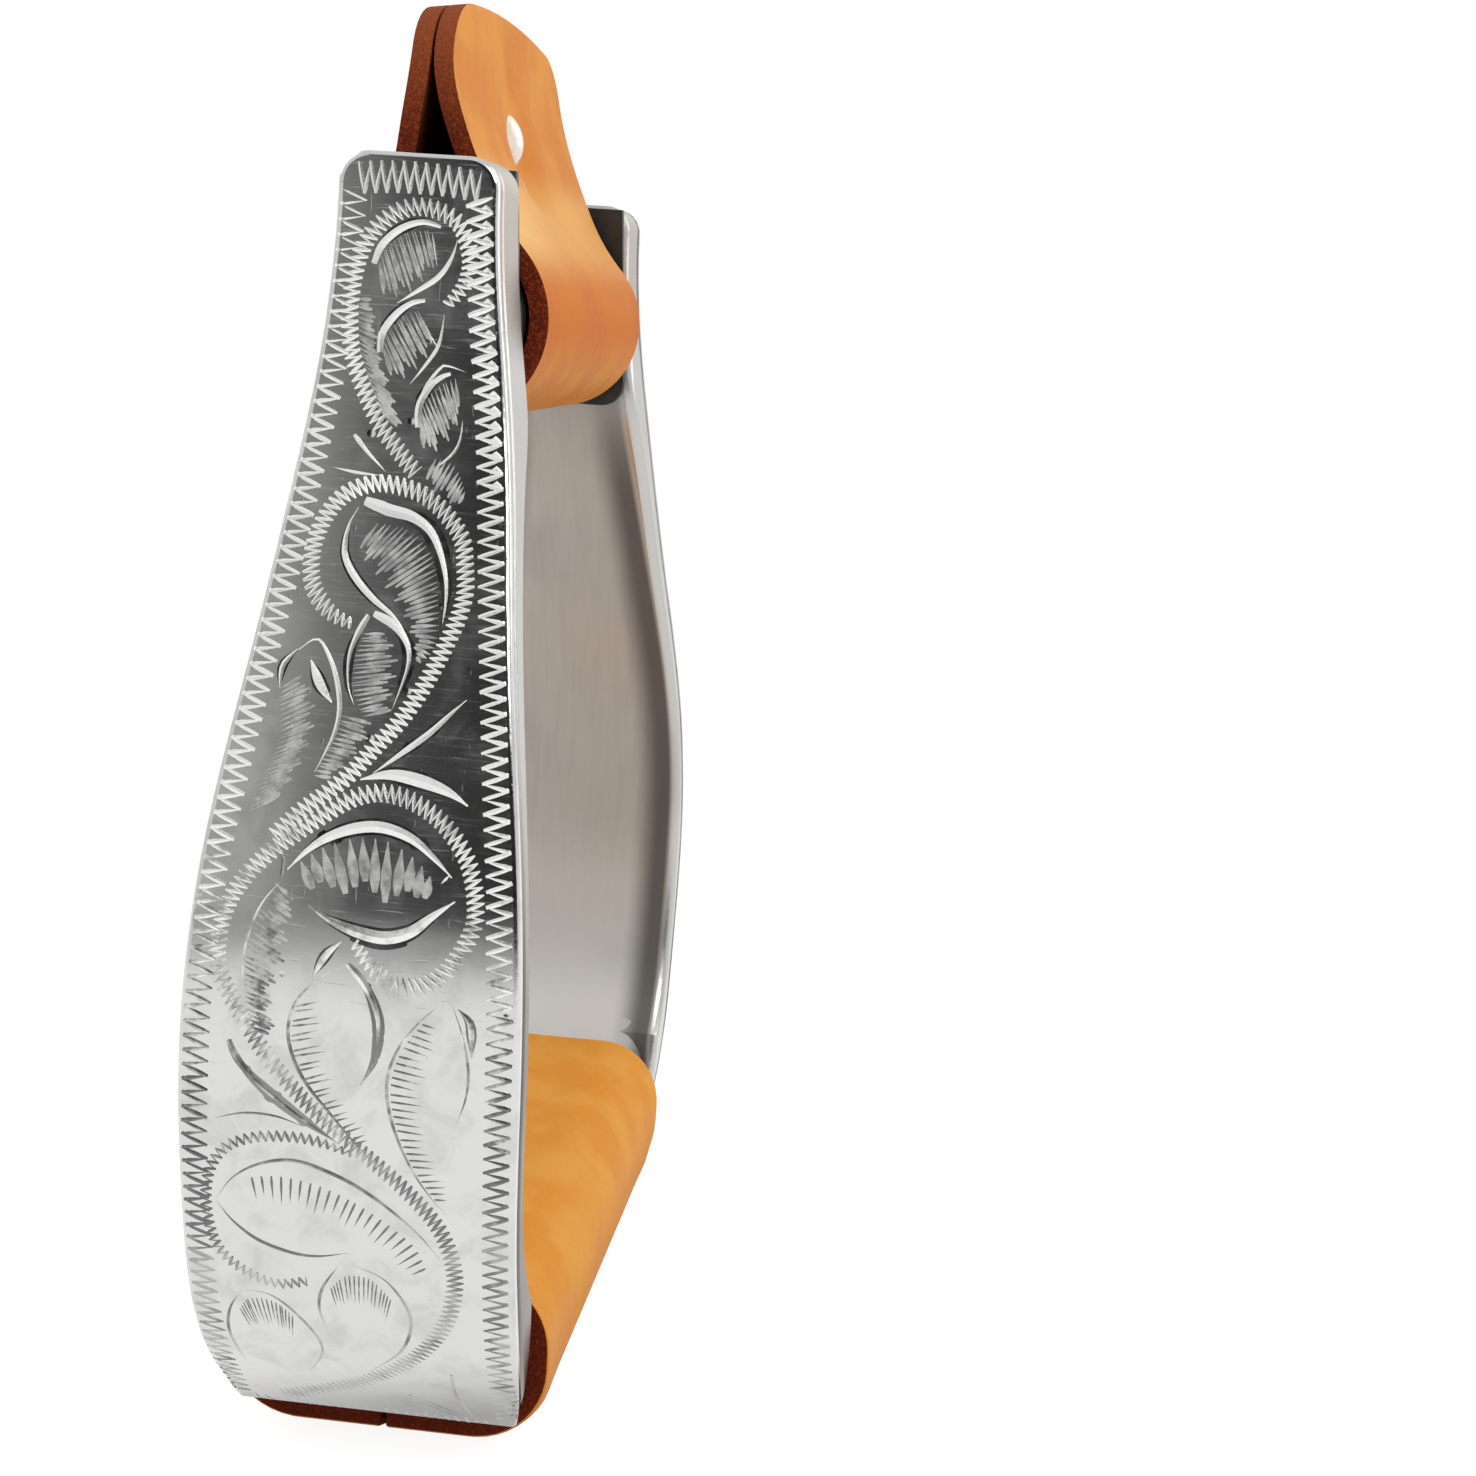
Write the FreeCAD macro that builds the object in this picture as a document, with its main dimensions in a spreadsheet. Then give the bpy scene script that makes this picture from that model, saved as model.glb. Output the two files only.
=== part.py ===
import FreeCAD, Part
import Sketcher
import math
import os
from FreeCAD import Placement, Rotation, Vector

# Western stirrup, in millimetres. +X runs along the stirrup bolt towards the plain side, -X is the
# engraved side, +Y is the back, +Z is up. The origin is at the middle of the tread's underside.

SIZES = {
    # arms of the cast frame
    "arm_height": 162.5,
    "neck_outer": 51.2,
    "neck_straight": 19.5,
    "neck_inner_straight": 26.5,
    "neck_wall": 10.8,
    "neck_half_depth": 9.4,
    "neck_corner": 3.6,
    "belly_outer": 68.2,
    "belly_wall": 4.6,
    "belly_half_depth": 20.2,
    "arm_edge_round": 1.4,
    # tread bar of the cast frame
    "bar_thick": 18.4,
    "bar_half_depth": 17.6,
    "bar_root_half_depth": 18.4,
    "bar_round": 6.5,
    "bar_root_round": 7.0,
    "bar_root_inset": 0.8,
    "bar_root_run_in": 1.2,
    "bar_root_run_out": 5.5,
    # overlay plates
    "plate_thick": 1.5,
    "plate_foot_height": 6.4,
    "plate_edge_round": 0.7,
    "bond_thick": 0.45,
    "bond_inset": 0.6,
    # neck liners
    "liner_thick": 1.5,
    "liner_below_bolt": 12.2,
    "liner_top_half_depth": 8.6,
    "liner_foot_half_depth": 10.4,
    "liner_foot_round": 3.5,
    "liner_top_drop": 0.6,
    # stirrup bolt, washer and nut
    "bolt_top_drop": 18.3,
    "bolt_radius": 4.0,
    "hex_radius": 7.4,
    "head_thick": 4.0,
    "nut_thick": 4.2,
    "washer_radius": 7.8,
    "washer_thick": 1.2,
    "counterbore_radius": 8.0,
    "counterbore_depth": 6.6,
    "bolt_hole_clearance": 0.05,
    "hardware_clearance": 0.02,
    "nut_recess": 0.5,
    # roller
    "roller_radius": 9.8,
    "roller_end_clearance": 0.5,
    "roller_bore_clearance": 0.06,
    "roller_edge_round": 0.8,
    # leather bolt cover
    "cover_leather": 2.7,
    "cover_roller_clearance": 0.3,
    "cover_side_clearance": 2.4,
    "cover_ply_gap": 0.3,
    "cover_bend_radius": 44.0,
    "tab_reach": 40.0,
    "tab_crown_radius": 240.0,
    "tab_corner_radius": 11.0,
    "cover_lean": 7.0,
    # cover rivet
    "rivet_reach": 24.0,
    "rivet_post_radius": 1.6,
    "rivet_head_radius": 3.5,
    "rivet_head_thick": 1.5,
    "rivet_fit": 0.02,
    "rivet_sink": 0.7,
    "rivet_dimple_clearance": 0.35,
    "rivet_cap_bore": 1.2,
    # leather tread sleeve
    "tread_leather": 3.0,
    "tread_fit": 0.2,
    "tread_foot_gap": 0.3,
    "tread_crown_gap": 5.6,
    "seam_gap": 0.6,
    "seam_channel_half_width": 2.6,
    "seam_channel_depth": 0.9,
    # tread stitches
    "stitch_radius": 0.4,
    "stitch_half_length": 2.1,
    "stitch_spacing": 6.5,
    "stitch_margin": 5.0,
    "stitch_depth": 2.4,
    "stitch_fit": 0.02,
    # one overrun for every cut
    "overrun": 4.0,
}

# Stations of the arm's outer line from the end of the straight neck down to the belly: height as a
# share of the arm height, reach beyond the neck as a share of the belly's reach beyond it.
ARM_STATION_SHARES = (
    (0.785, 0.118),
    (0.649, 0.518),
    (0.508, 0.876),
    (0.366, 1.0),
)
# Stations from the belly down to the tread's underside, where the line turns inwards: height as a
# share of the arm height, reach beyond the turn as a share of the belly's reach beyond it.
FOOT_STATION_SHARES = (
    (0.231, 0.913),
    (0.108, 0.6203),
    (0.047, 0.3363),
)
TREAD_TURN_SHARE = 0.57

# Wall of the arm at the same stations, as a share of what the neck is thicker than the belly.
WALL_SHARES = (0.66, 0.18, 0.0, 0.0, 0.0)
# Inner line of the arm's root, from the belly to the tread bar's top: reach as a share of the belly's
# outer reach, height above the bar's top as a share of the bar's thickness.
ROOT_INNER_SHARES = ((0.770, 0.225), (0.665, 0.035))
ROOT_TURN_SHARE = 0.57
# Reach of the slanted ends of the tread, at its underside and above its top, as shares of the
# belly's outer reach.
END_FOOT_SHARE = 0.6862
END_CROWN_SHARE = 0.7962

# Half depth of the arm against height: height share, and share from the neck's to the belly's.
DEPTH_SHARES = (
    (0.88, 0.10),
    (0.785, 0.29),
    (0.649, 0.55),
    (0.508, 0.85),
    (0.366, 0.99),
    (0.231, 0.99),
    (0.108, 0.955),
    (0.047, 0.83),
    (0.021, 0.65),
)

# Sections of the tread bar: place along the bar as a share of its half length, and how far the
# section has gone from the middle one to the root one.
BAR_SECTION_SHARES = (
    (0.0, 0.0), (0.54, 0.0), (0.62, 0.12), (0.70, 0.42), (0.78, 0.76), (0.86, 0.95), (1.0, 1.0),
)
# The bar's corner rounding goes up to this share of its thickness.
BAR_ROUND_LIMIT_SHARE = 0.45
# How far a stitch slants each way along the seam, as a share of the pitch.
STITCH_LEAD_SHARE = 0.22
# Samples on the arm's outer line that its parallel lines are drawn through.
PARALLEL_SAMPLES = 28


def make_sheet(doc):
    """Put every named size into the sheet as a plain number with its alias."""
    sheet = doc.addObject("Spreadsheet::Sheet", "sizes")
    for row, (alias, value) in enumerate(SIZES.items(), start=1):
        sheet.set("A%d" % row, alias)
        sheet.set("B%d" % row, str(value))
        sheet.setAlias("B%d" % row, alias)
    doc.recompute()
    return sheet


doc = FreeCAD.newDocument("western_stirrup")
sheet = make_sheet(doc)
subparts = []


def size(alias):
    """Read one named size from the sheet."""
    return float(sheet.get(alias))


def keep(feature, label):
    """Name a finished sub-part; its label is the name of its file."""
    feature.Label = label
    subparts.append(feature)
    return feature


def keep_shape(shape, label):
    """Keep a free-form solid that was worked out from the sheet's sizes."""
    feature = doc.addObject("Part::Feature", label)
    feature.Shape = shape
    return keep(feature, label)


def bind(feature, **expressions):
    """Bind properties of a feature to sums of named sizes."""
    for path, expression in expressions.items():
        feature.setExpression(path, named(expression))


def named(expression):
    """Write an expression's plain aliases as cells of the sheet."""
    words = expression.replace("(", " ( ").replace(")", " ) ").split()
    return " ".join("sizes." + word if word in SIZES else word for word in words)


def place(feature, x="0", y="0", z="0"):
    """Bind a feature's position to sums of named sizes."""
    for axis, expression in zip("xyz", (x, y, z)):
        feature.setExpression("Placement.Base." + axis, "(%s) * 1 mm" % named(expression))


# Lines of the frame in the plane Y = 0. One arm is worked out, the other is its mirror image.

arm_height = size("arm_height")
neck_outer = size("neck_outer")
belly_outer = size("belly_outer")
bar_bottom = size("tread_leather") + size("tread_fit")
bar_top = bar_bottom + size("bar_thick")
bolt_height = arm_height - size("bolt_top_drop")
end_foot = END_FOOT_SHARE * belly_outer
end_crown = END_CROWN_SHARE * belly_outer
neck_foot = arm_height - size("neck_straight")
overrun = size("overrun")
DOWN = Vector(0, 0, -1)
INWARD = Vector(-1, 0, 0)


def spline(points, first, last):
    """Smooth curve through the points with the given directions at its two ends."""
    curve = Part.BSplineCurve()
    curve.interpolate(Points=points, InitialTangent=first, FinalTangent=last)
    return curve


def arm_stations():
    """Places on the arm's outer line between the straight neck and the tread's underside."""
    turn = TREAD_TURN_SHARE * belly_outer
    stations = []
    for start, shares in ((neck_outer, ARM_STATION_SHARES), (turn, FOOT_STATION_SHARES)):
        for height_share, reach_share in shares:
            reach = start + reach_share * (belly_outer - start)
            stations.append(Vector(reach, 0, height_share * arm_height))
    return stations


def outer_curve():
    """Outer line of the arm below the straight neck, down to the tread's underside."""
    foot = Vector(TREAD_TURN_SHARE * belly_outer, 0, bar_bottom)
    return spline([Vector(neck_outer, 0, neck_foot)] + arm_stations() + [foot], DOWN, INWARD)


def inner_curve(outer):
    """Inner line of the arm, one wall inside the outer line, down to the tread bar's top."""
    neck_wall = size("neck_wall")
    belly_wall = size("belly_wall")
    points = [Vector(neck_outer - neck_wall, 0, arm_height - size("neck_inner_straight"))]
    for station, wall_share in zip(arm_stations(), WALL_SHARES):
        along = outer.tangent(outer.parameter(station))[0]
        wall = belly_wall + wall_share * (neck_wall - belly_wall)
        points.append(station + Vector(along.z, 0, -along.x) * wall)
    for reach_share, rise_share in ROOT_INNER_SHARES:
        points.append(Vector(reach_share * belly_outer, 0, bar_top + rise_share * size("bar_thick")))
    points.append(Vector(ROOT_TURN_SHARE * belly_outer, 0, bar_top))
    return spline(points, DOWN, INWARD)


def height_on(curve, reach, level):
    """Height of a line of the arm's root at a reach from the mid-plane, or the tread's level."""
    if reach <= curve.EndPoint.x:
        return level
    belly_height = ARM_STATION_SHARES[-1][0] * arm_height
    upright = Part.LineSegment(Vector(reach, 0, 0), Vector(reach, 0, belly_height))
    return min(point.Z for point in curve.intersect(upright))


def parallel_curve(gap):
    """Line at a gap outside the arm's outer line, below the straight neck."""
    points = []
    first, last = outer.FirstParameter, outer.LastParameter
    for step in range(PARALLEL_SAMPLES + 1):
        at = first + (last - first) * step / PARALLEL_SAMPLES
        along = outer.tangent(at)[0]
        points.append(outer.value(at) + Vector(-along.z, 0, along.x) * gap)
    return spline(points, DOWN, INWARD)


def arm_outer_wire(outer):
    """Outer line of the arm with its straight neck, as one open wire."""
    neck = Part.LineSegment(Vector(neck_outer, 0, arm_height), Vector(neck_outer, 0, neck_foot))
    return Part.Wire([neck.toShape(), outer.toShape()])


def side_outline(inset=0.0, foot=0.0):
    """Bell-shaped outline of the arms seen along the bolt, cut off below the foot height."""
    neck_half = size("neck_half_depth") - inset
    grow = size("belly_half_depth") - size("neck_half_depth")
    top = arm_height - inset
    corner = size("neck_corner")
    line = [Vector(0, neck_half, top - corner)]
    line += [Vector(0, neck_half + depth_share * grow, height_share * arm_height)
             for height_share, depth_share in DEPTH_SHARES]
    back = Part.BSplineCurve()
    back.interpolate(Points=line, InitialTangent=DOWN, FinalTangent=Vector(0, -1, -1))
    front = Part.BSplineCurve()
    front.interpolate(Points=[Vector(0, -p.y, p.z) for p in line], InitialTangent=DOWN,
                      FinalTangent=Vector(0, 1, -1))
    lean = corner * (1 - math.sqrt(0.5))
    arcs = []
    for side in (-1, 1):
        arcs.append(Part.Arc(Vector(0, side * neck_half, top - corner),
                             Vector(0, side * (neck_half - lean), top - lean),
                             Vector(0, side * (neck_half - corner), top)).toShape())
    lid = Part.LineSegment(Vector(0, -(neck_half - corner), top), Vector(0, neck_half - corner, top))
    sole = Part.LineSegment(Vector(0, line[-1].y, line[-1].z), Vector(0, -line[-1].y, line[-1].z))
    wire = Part.Wire(Part.__sortEdges__(
        [back.toShape(), front.toShape(), lid.toShape(), sole.toShape()] + arcs))
    reach = belly_outer + overrun
    bell = Part.Face(wire).extrude(Vector(2 * reach, 0, 0))
    bell.translate(Vector(-reach, 0, 0))
    if foot:
        depth = size("belly_half_depth") + overrun
        below = Part.makeBox(2 * reach, 2 * depth, foot, Vector(-reach, -depth, 0))
        bell = bell.cut(below)
    return bell


def slab(face):
    """Both arms' thickness of a face in the plane Y = 0, as deep as the belly allows."""
    depth = size("belly_half_depth") + overrun
    solid = face.extrude(Vector(0, 2 * depth, 0))
    solid.translate(Vector(0, -depth, 0))
    return solid


def mirrored(shape):
    """The same shape on the engraved side."""
    return shape.mirror(Vector(0, 0, 0), Vector(1, 0, 0))


def rounded_section(reach, half_depth, bottom, top, corner):
    """Rounded rectangle across the tread at one place along it, of lines and quarter arcs."""
    across, high, low = half_depth - corner, top - corner, bottom + corner
    centres = (Vector(reach, across, high), Vector(reach, -across, high),
               Vector(reach, -across, low), Vector(reach, across, low))
    quarters = []
    for number, centre in enumerate(centres):
        turns = [math.pi / 4 * (2 * number + step) for step in range(3)]
        quarters.append([centre + Vector(0, math.cos(turn), math.sin(turn)) * corner for turn in turns])
    edges = []
    for quarter, following in zip(quarters, quarters[1:] + quarters[:1]):
        edges.append(Part.Arc(*quarter).toShape())
        edges.append(Part.LineSegment(quarter[-1], following[0]).toShape())
    return Part.Wire(edges)


def tread_loft(grow):
    """Tread bar, or what wraps it, grown on every side and lofted from arm to arm."""
    sections = []
    for place_share, root_share in BAR_SECTION_SHARES:
        reach = place_share * (end_crown + size("bar_root_run_out"))
        half_depth = size("bar_half_depth") + root_share * (
            size("bar_root_half_depth") - size("bar_half_depth"))
        corner = size("bar_round") + root_share * (size("bar_root_round") - size("bar_round"))
        step = root_share * size("bar_root_inset")
        bottom = height_on(outer, reach, bar_bottom) + step
        top = height_on(inner, reach, bar_top) - step
        corner = min(corner, BAR_ROUND_LIMIT_SHARE * (top - bottom))
        sections.append((reach, half_depth + grow, bottom - grow, top + grow, corner + grow))
    wires = [rounded_section(-section[0], *section[1:]) for section in reversed(sections[1:])]
    wires += [rounded_section(*section) for section in sections]
    return Part.makeLoft(wires, True, True)


def between_ends(foot_setback, crown_setback):
    """Space between the two slanted ends of the tread, each set back at its foot and its crown."""
    low, high = bar_bottom, bar_top + size("bar_thick") / 2
    foot = end_foot - foot_setback
    slope = (end_crown - crown_setback - foot) / (high - low)
    depth = 2 * size("belly_half_depth")
    floor, lid = -overrun, arm_height + overrun
    corners = [
        Vector(-(foot + slope * (floor - low)), -depth, floor),
        Vector(foot + slope * (floor - low), -depth, floor),
        Vector(foot + slope * (lid - low), -depth, lid),
        Vector(-(foot + slope * (lid - low)), -depth, lid),
    ]
    return Part.Face(Part.makePolygon(corners + corners[:1])).extrude(Vector(0, 2 * depth, 0))


# Cast frame: two arms, joined by the tread bar, bored and counterbored for the bolt.

outer = outer_curve()
inner = inner_curve(outer)
outer_wire = arm_outer_wire(outer)


def arm_face():
    """Section of one arm, closed off inside the tread bar."""
    neck_inner = neck_outer - size("neck_wall")
    start = inner.value(inner.FirstParameter)
    end_out = outer.value(outer.LastParameter)
    end_in = inner.value(inner.LastParameter)
    top_in, top_out = Vector(neck_inner, 0, arm_height), Vector(neck_outer, 0, arm_height)
    edges = list(outer_wire.Edges) + [
        Part.LineSegment(end_out, end_in).toShape(),
        inner.toShape(),
        Part.LineSegment(start, top_in).toShape(),
        Part.LineSegment(top_in, top_out).toShape(),
    ]
    return Part.Face(Part.Wire(Part.__sortEdges__(edges)))


def bolt_hole(radius, start, length):
    """Cylinder along the bolt's axis."""
    return Part.makeCylinder(radius, length, Vector(start, 0, bolt_height), Vector(1, 0, 0))


def rim_edges(solid):
    """Edges that run down the rims of the arm's inner and outer faces."""
    neck_inner = neck_outer - size("neck_wall")
    return [edge for edge in solid.Edges
            if edge.BoundBox.ZLength > size("liner_foot_round")
            and edge.BoundBox.XMax > neck_inner - size("bond_thick")]


def tread_zone():
    """Space below the arms' bellies, where the tread's ends are cut."""
    reach, depth = belly_outer + overrun, 2 * size("belly_half_depth")
    return Part.makeBox(2 * reach, 2 * depth, bar_top + size("bar_thick") + overrun,
                        Vector(-reach, -depth, -overrun))


def cast_frame():
    """Whole casting."""
    bell = side_outline()
    arm = slab(arm_face()).common(bell)
    arm = arm.cut(between_ends(0.0, 0.0).common(tread_zone()))
    arm = arm.makeFillet(size("arm_edge_round"), rim_edges(arm))
    run_in = -size("bar_root_run_in")
    bar = tread_loft(0.0).common(between_ends(run_in, run_in))
    frame = bar.fuse([arm, mirrored(arm)])
    hole = size("bolt_radius") + size("bolt_hole_clearance")
    bore = bolt_hole(hole, -belly_outer, 2 * belly_outer)
    pocket = bolt_hole(size("counterbore_radius"), neck_outer - size("counterbore_depth"),
                       size("counterbore_depth") + overrun)
    return frame.cut([bore, pocket, mirrored(pocket)]).removeSplitter()


keep_shape(cast_frame(), "frame_casting")


# Overlay plates on the arms' outer faces, and the dark bond between plate and casting.

def overlay(gap, thick, inset, foot):
    """Sheet that follows the arm's outer face at a gap, cut to the bell outline."""
    near = parallel_curve(gap) if gap else outer
    far = parallel_curve(gap + thick)
    near_top = Vector(neck_outer + gap, 0, arm_height)
    far_top = Vector(neck_outer + gap + thick, 0, arm_height)
    edges = [
        near.toShape(),
        far.toShape(),
        Part.LineSegment(near_top, near.StartPoint).toShape(),
        Part.LineSegment(far_top, far.StartPoint).toShape(),
        Part.LineSegment(near_top, far_top).toShape(),
        Part.LineSegment(near.EndPoint, far.EndPoint).toShape(),
    ]
    face = Part.Face(Part.Wire(Part.__sortEdges__(edges)))
    return slab(face).common(side_outline(inset, foot))


bond_thick = size("bond_thick")


def plate_rims(plate):
    """Edges round the plate's outer face, all but its hidden foot."""
    reach = neck_outer + bond_thick + size("plate_thick")
    return [edge for edge in plate.Edges
            if edge.BoundBox.XMax > reach - size("plate_thick") / 4
            and outward(edge.valueAt(edge.FirstParameter))
            and outward(edge.valueAt(edge.LastParameter))
            and edge.BoundBox.ZMax > size("plate_foot_height") + size("plate_thick")]


def outward(point):
    """Whether a point lies on the plate's outer face."""
    gap = bond_thick + size("plate_thick")
    if point.z >= neck_foot:
        return abs(point.x - neck_outer - gap) < gap / 4
    spot = outer.value(outer.parameter(Vector(point.x, 0, point.z)))
    return abs(spot.distanceToPoint(Vector(point.x, 0, point.z)) - gap) < gap / 4


bond = overlay(0.0, bond_thick, size("bond_inset"), size("plate_foot_height") + size("bond_inset"))
plate = overlay(bond_thick, size("plate_thick"), 0.0, size("plate_foot_height"))
plate = plate.makeFillet(size("plate_edge_round"), plate_rims(plate))
keep_shape(mirrored(plate), "engraved_plate")
keep_shape(plate, "plain_plate")
keep_shape(mirrored(bond), "engraved_plate_bond")
keep_shape(bond, "plain_plate_bond")


# Sketch helpers: geometry is drawn where the sizes put it, then tied to the sheet.

def new_sketch(body, name, plane):
    """Sketch on one of the body's own origin planes."""
    sketch = body.newObject("Sketcher::SketchObject", name)
    support = [item for item in body.Origin.OriginFeatures if item.Role == plane][0]
    sketch.AttachmentSupport = [(support, "")]
    sketch.MapMode = "FlatFace"
    return sketch


def tie(sketch, kind, *where, to=None):
    """Add one constraint; a driving one is bound to an expression of named sizes."""
    if to is None:
        return sketch.addConstraint(Sketcher.Constraint(kind, *where))
    index = sketch.addConstraint(Sketcher.Constraint(kind, *where, evaluate(to)))
    sketch.setExpression("Constraints[%d]" % index, named(to))
    return index


def evaluate(expression):
    """Value of a sum of named sizes, for drawing a shape close to where it ends up."""
    words = expression.replace("(", " ( ").replace(")", " ) ").split()
    total = "".join(repr(size(word)) if word in SIZES else word for word in words)
    return float(FreeCAD.Units.Quantity(total).Value)


def circle(sketch, radius, height="0"):
    """Circle on the sketch's upright axis."""
    index = sketch.addGeometry(Part.Circle(
        Vector(0, evaluate(height), 0), Vector(0, 0, 1), evaluate(radius)))
    if height == "0":
        tie(sketch, "Coincident", index, 3, -1, 1)
    else:
        tie(sketch, "PointOnObject", index, 3, -2)
        tie(sketch, "DistanceY", -1, 1, index, 3, to=height)
    tie(sketch, "Radius", index, to=radius)
    return index


def pad(body, name, sketch, length, symmetric=False):
    """Pad a sketch by a bound length."""
    feature = body.newObject("PartDesign::Pad", name)
    feature.Profile = sketch
    feature.SideType = "Symmetric" if symmetric else "One side"
    feature.setExpression("Length", named(length))
    sketch.Visibility = False
    return feature


def pocket_through(body, name, sketch):
    """Pocket a sketch through the whole body, both ways."""
    feature = body.newObject("PartDesign::Pocket", name)
    feature.Profile = sketch
    feature.Type = "ThroughAll"
    feature.SideType = "Symmetric"
    return feature


def round_edges(body, name, base, radius, wanted):
    """Fillet the base's edges that the test picks."""
    doc.recompute()
    numbered = enumerate(base.Shape.Edges, start=1)
    names = ["Edge%d" % number for number, edge in numbered if wanted(edge)]
    feature = body.newObject("PartDesign::Fillet", name)
    feature.Base = (base, names)
    feature.setExpression("Radius", named(radius))
    return feature


NECK_INNER = "neck_outer - neck_wall"
BOLT_LEVEL = "arm_height - bolt_top_drop"
LINER_LENGTH = "bolt_top_drop - liner_top_drop + liner_below_bolt"
LINER_FACE = NECK_INNER + " - liner_thick"
BOLT_SEAT = "neck_outer - counterbore_depth"


# Neck liners, flat on the inner faces of the two necks.

def neck_liner(label, reach):
    """Flat liner with rounded lower corners and a hole for the bolt."""
    body = doc.addObject("PartDesign::Body", label)
    sketch = new_sketch(body, label + "_outline", "YZ_Plane")
    top, foot = size("liner_top_half_depth"), size("liner_foot_half_depth")
    drop = evaluate(LINER_LENGTH)
    corners = [Vector(-top, 0, 0), Vector(top, 0, 0), Vector(foot, -drop, 0), Vector(-foot, -drop, 0)]
    for start, finish in zip(corners, corners[1:] + corners[:1]):
        sketch.addGeometry(Part.LineSegment(start, finish))
    for line in range(4):
        tie(sketch, "Coincident", line, 2, (line + 1) % 4, 1)
    tie(sketch, "PointOnObject", 0, 1, -1)
    tie(sketch, "Symmetric", 0, 1, 0, 2, -2)
    tie(sketch, "Symmetric", 2, 1, 2, 2, -2)
    tie(sketch, "DistanceX", 0, 1, 0, 2, to="2 * liner_top_half_depth")
    tie(sketch, "DistanceX", 2, 2, 2, 1, to="2 * liner_foot_half_depth")
    tie(sketch, "DistanceY", 2, 1, 0, 2, to=LINER_LENGTH)
    circle(sketch, "bolt_radius + bolt_hole_clearance", "liner_top_drop - bolt_top_drop")
    blank = pad(body, label + "_blank", sketch, "liner_thick")
    level = drop - size("bond_thick")
    round_edges(body, label + "_corners", blank, "liner_foot_round",
                lambda edge: edge.BoundBox.ZMax < -level and edge.BoundBox.YLength < size("bond_thick"))
    place(body, x=reach, z="arm_height - liner_top_drop")
    return keep(body, label)


neck_liner("engraved_side_liner", "neck_wall - neck_outer")
neck_liner("plain_side_liner", LINER_FACE)


# Stirrup bolt with its hexagon head, washer and nut, sunk in the counterbores under the plates.

ALONG_BOLT = Rotation(Vector(0, 1, 0), 90)


def primitive(kind, name, x="0", **lengths):
    """Cylinder or prism along the bolt's axis, starting at a reach."""
    feature = doc.addObject(kind, name)
    if kind == "Part::Prism":
        feature.Polygon = 6
    bind(feature, **lengths)
    feature.Placement = Placement(Vector(0, 0, 0), ALONG_BOLT)
    place(feature, x=x, z=BOLT_LEVEL)
    return feature


def boolean(kind, label, base, tool):
    """Boolean of two features."""
    feature = doc.addObject(kind, label)
    feature.Base, feature.Tool = base, tool
    return feature


head = primitive("Part::Prism", "bolt_head", x="0 - (%s + head_thick)" % BOLT_SEAT,
                 Circumradius="hex_radius", Height="head_thick")
SHANK_BEYOND_SEATS = " + head_thick * 0.5 + washer_thick + nut_thick + nut_recess"
shank = primitive("Part::Cylinder", "bolt_shank", x="0 - (%s + head_thick * 0.5)" % BOLT_SEAT,
                  Radius="bolt_radius", Height="2 * (%s)" % BOLT_SEAT + SHANK_BEYOND_SEATS)
keep(boolean("Part::Fuse", "stirrup_bolt", head, shank), "stirrup_bolt")

washer_disc = primitive("Part::Cylinder", "washer_disc", x=BOLT_SEAT,
                        Radius="washer_radius", Height="washer_thick")
washer_hole = primitive("Part::Cylinder", "washer_hole", x=BOLT_SEAT + " - overrun",
                        Radius="bolt_radius + hardware_clearance", Height="washer_thick + 2 * overrun")
keep(boolean("Part::Cut", "bolt_washer", washer_disc, washer_hole), "bolt_washer")

NUT_SEAT = BOLT_SEAT + " + washer_thick"
nut_blank = primitive("Part::Prism", "nut_blank", x=NUT_SEAT,
                      Circumradius="hex_radius", Height="nut_thick")
nut_hole = primitive("Part::Cylinder", "nut_hole", x=NUT_SEAT + " - overrun",
                     Radius="bolt_radius + hardware_clearance", Height="nut_thick + 2 * overrun")
keep(boolean("Part::Cut", "bolt_nut", nut_blank, nut_hole), "bolt_nut")


# Roller, which turns on the bolt between the liners.

def roller():
    """Sleeve on the bolt with eased ends."""
    body = doc.addObject("PartDesign::Body", "roller")
    sketch = new_sketch(body, "roller_section", "YZ_Plane")
    circle(sketch, "roller_radius")
    circle(sketch, "bolt_radius + roller_bore_clearance")
    length = "2 * (%s - roller_end_clearance)" % LINER_FACE
    tube = pad(body, "roller_tube", sketch, length, symmetric=True)
    edge_round = size("roller_edge_round")
    rim = size("roller_radius") - edge_round
    round_edges(body, "roller_rims", tube, "roller_edge_round",
                lambda edge: edge.BoundBox.XLength < edge_round and edge.BoundBox.ZMax > rim)
    place(body, z=BOLT_LEVEL)
    return keep(body, "roller")


roller()


# Leather bolt cover: one strap folded round the roller, its two plies riveted together above it.
# It is drawn upright round the bolt's axis and then leant back on the roller.

COVER_INNER = "roller_radius + cover_roller_clearance"
COVER_OUTER = COVER_INNER + " + cover_leather"
PLY_INNER = "cover_ply_gap * 0.5"
PLY_OUTER = PLY_INNER + " + cover_leather"
COVER_HALF = LINER_FACE + " - cover_side_clearance"
RIVET_FLOOR = PLY_OUTER + " - rivet_sink"
RIVET_SEAT = RIVET_FLOOR + " + rivet_fit"


def lean_back(feature):
    """Turn an upright piece about the bolt's axis to the cover's lean."""
    feature.Placement = Placement(Vector(0, 0, 0), Rotation(Vector(-1, 0, 0), size("cover_lean")))
    feature.setExpression("Placement.Rotation.Angle", named("cover_lean"))
    place(feature, z=BOLT_LEVEL)


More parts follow.
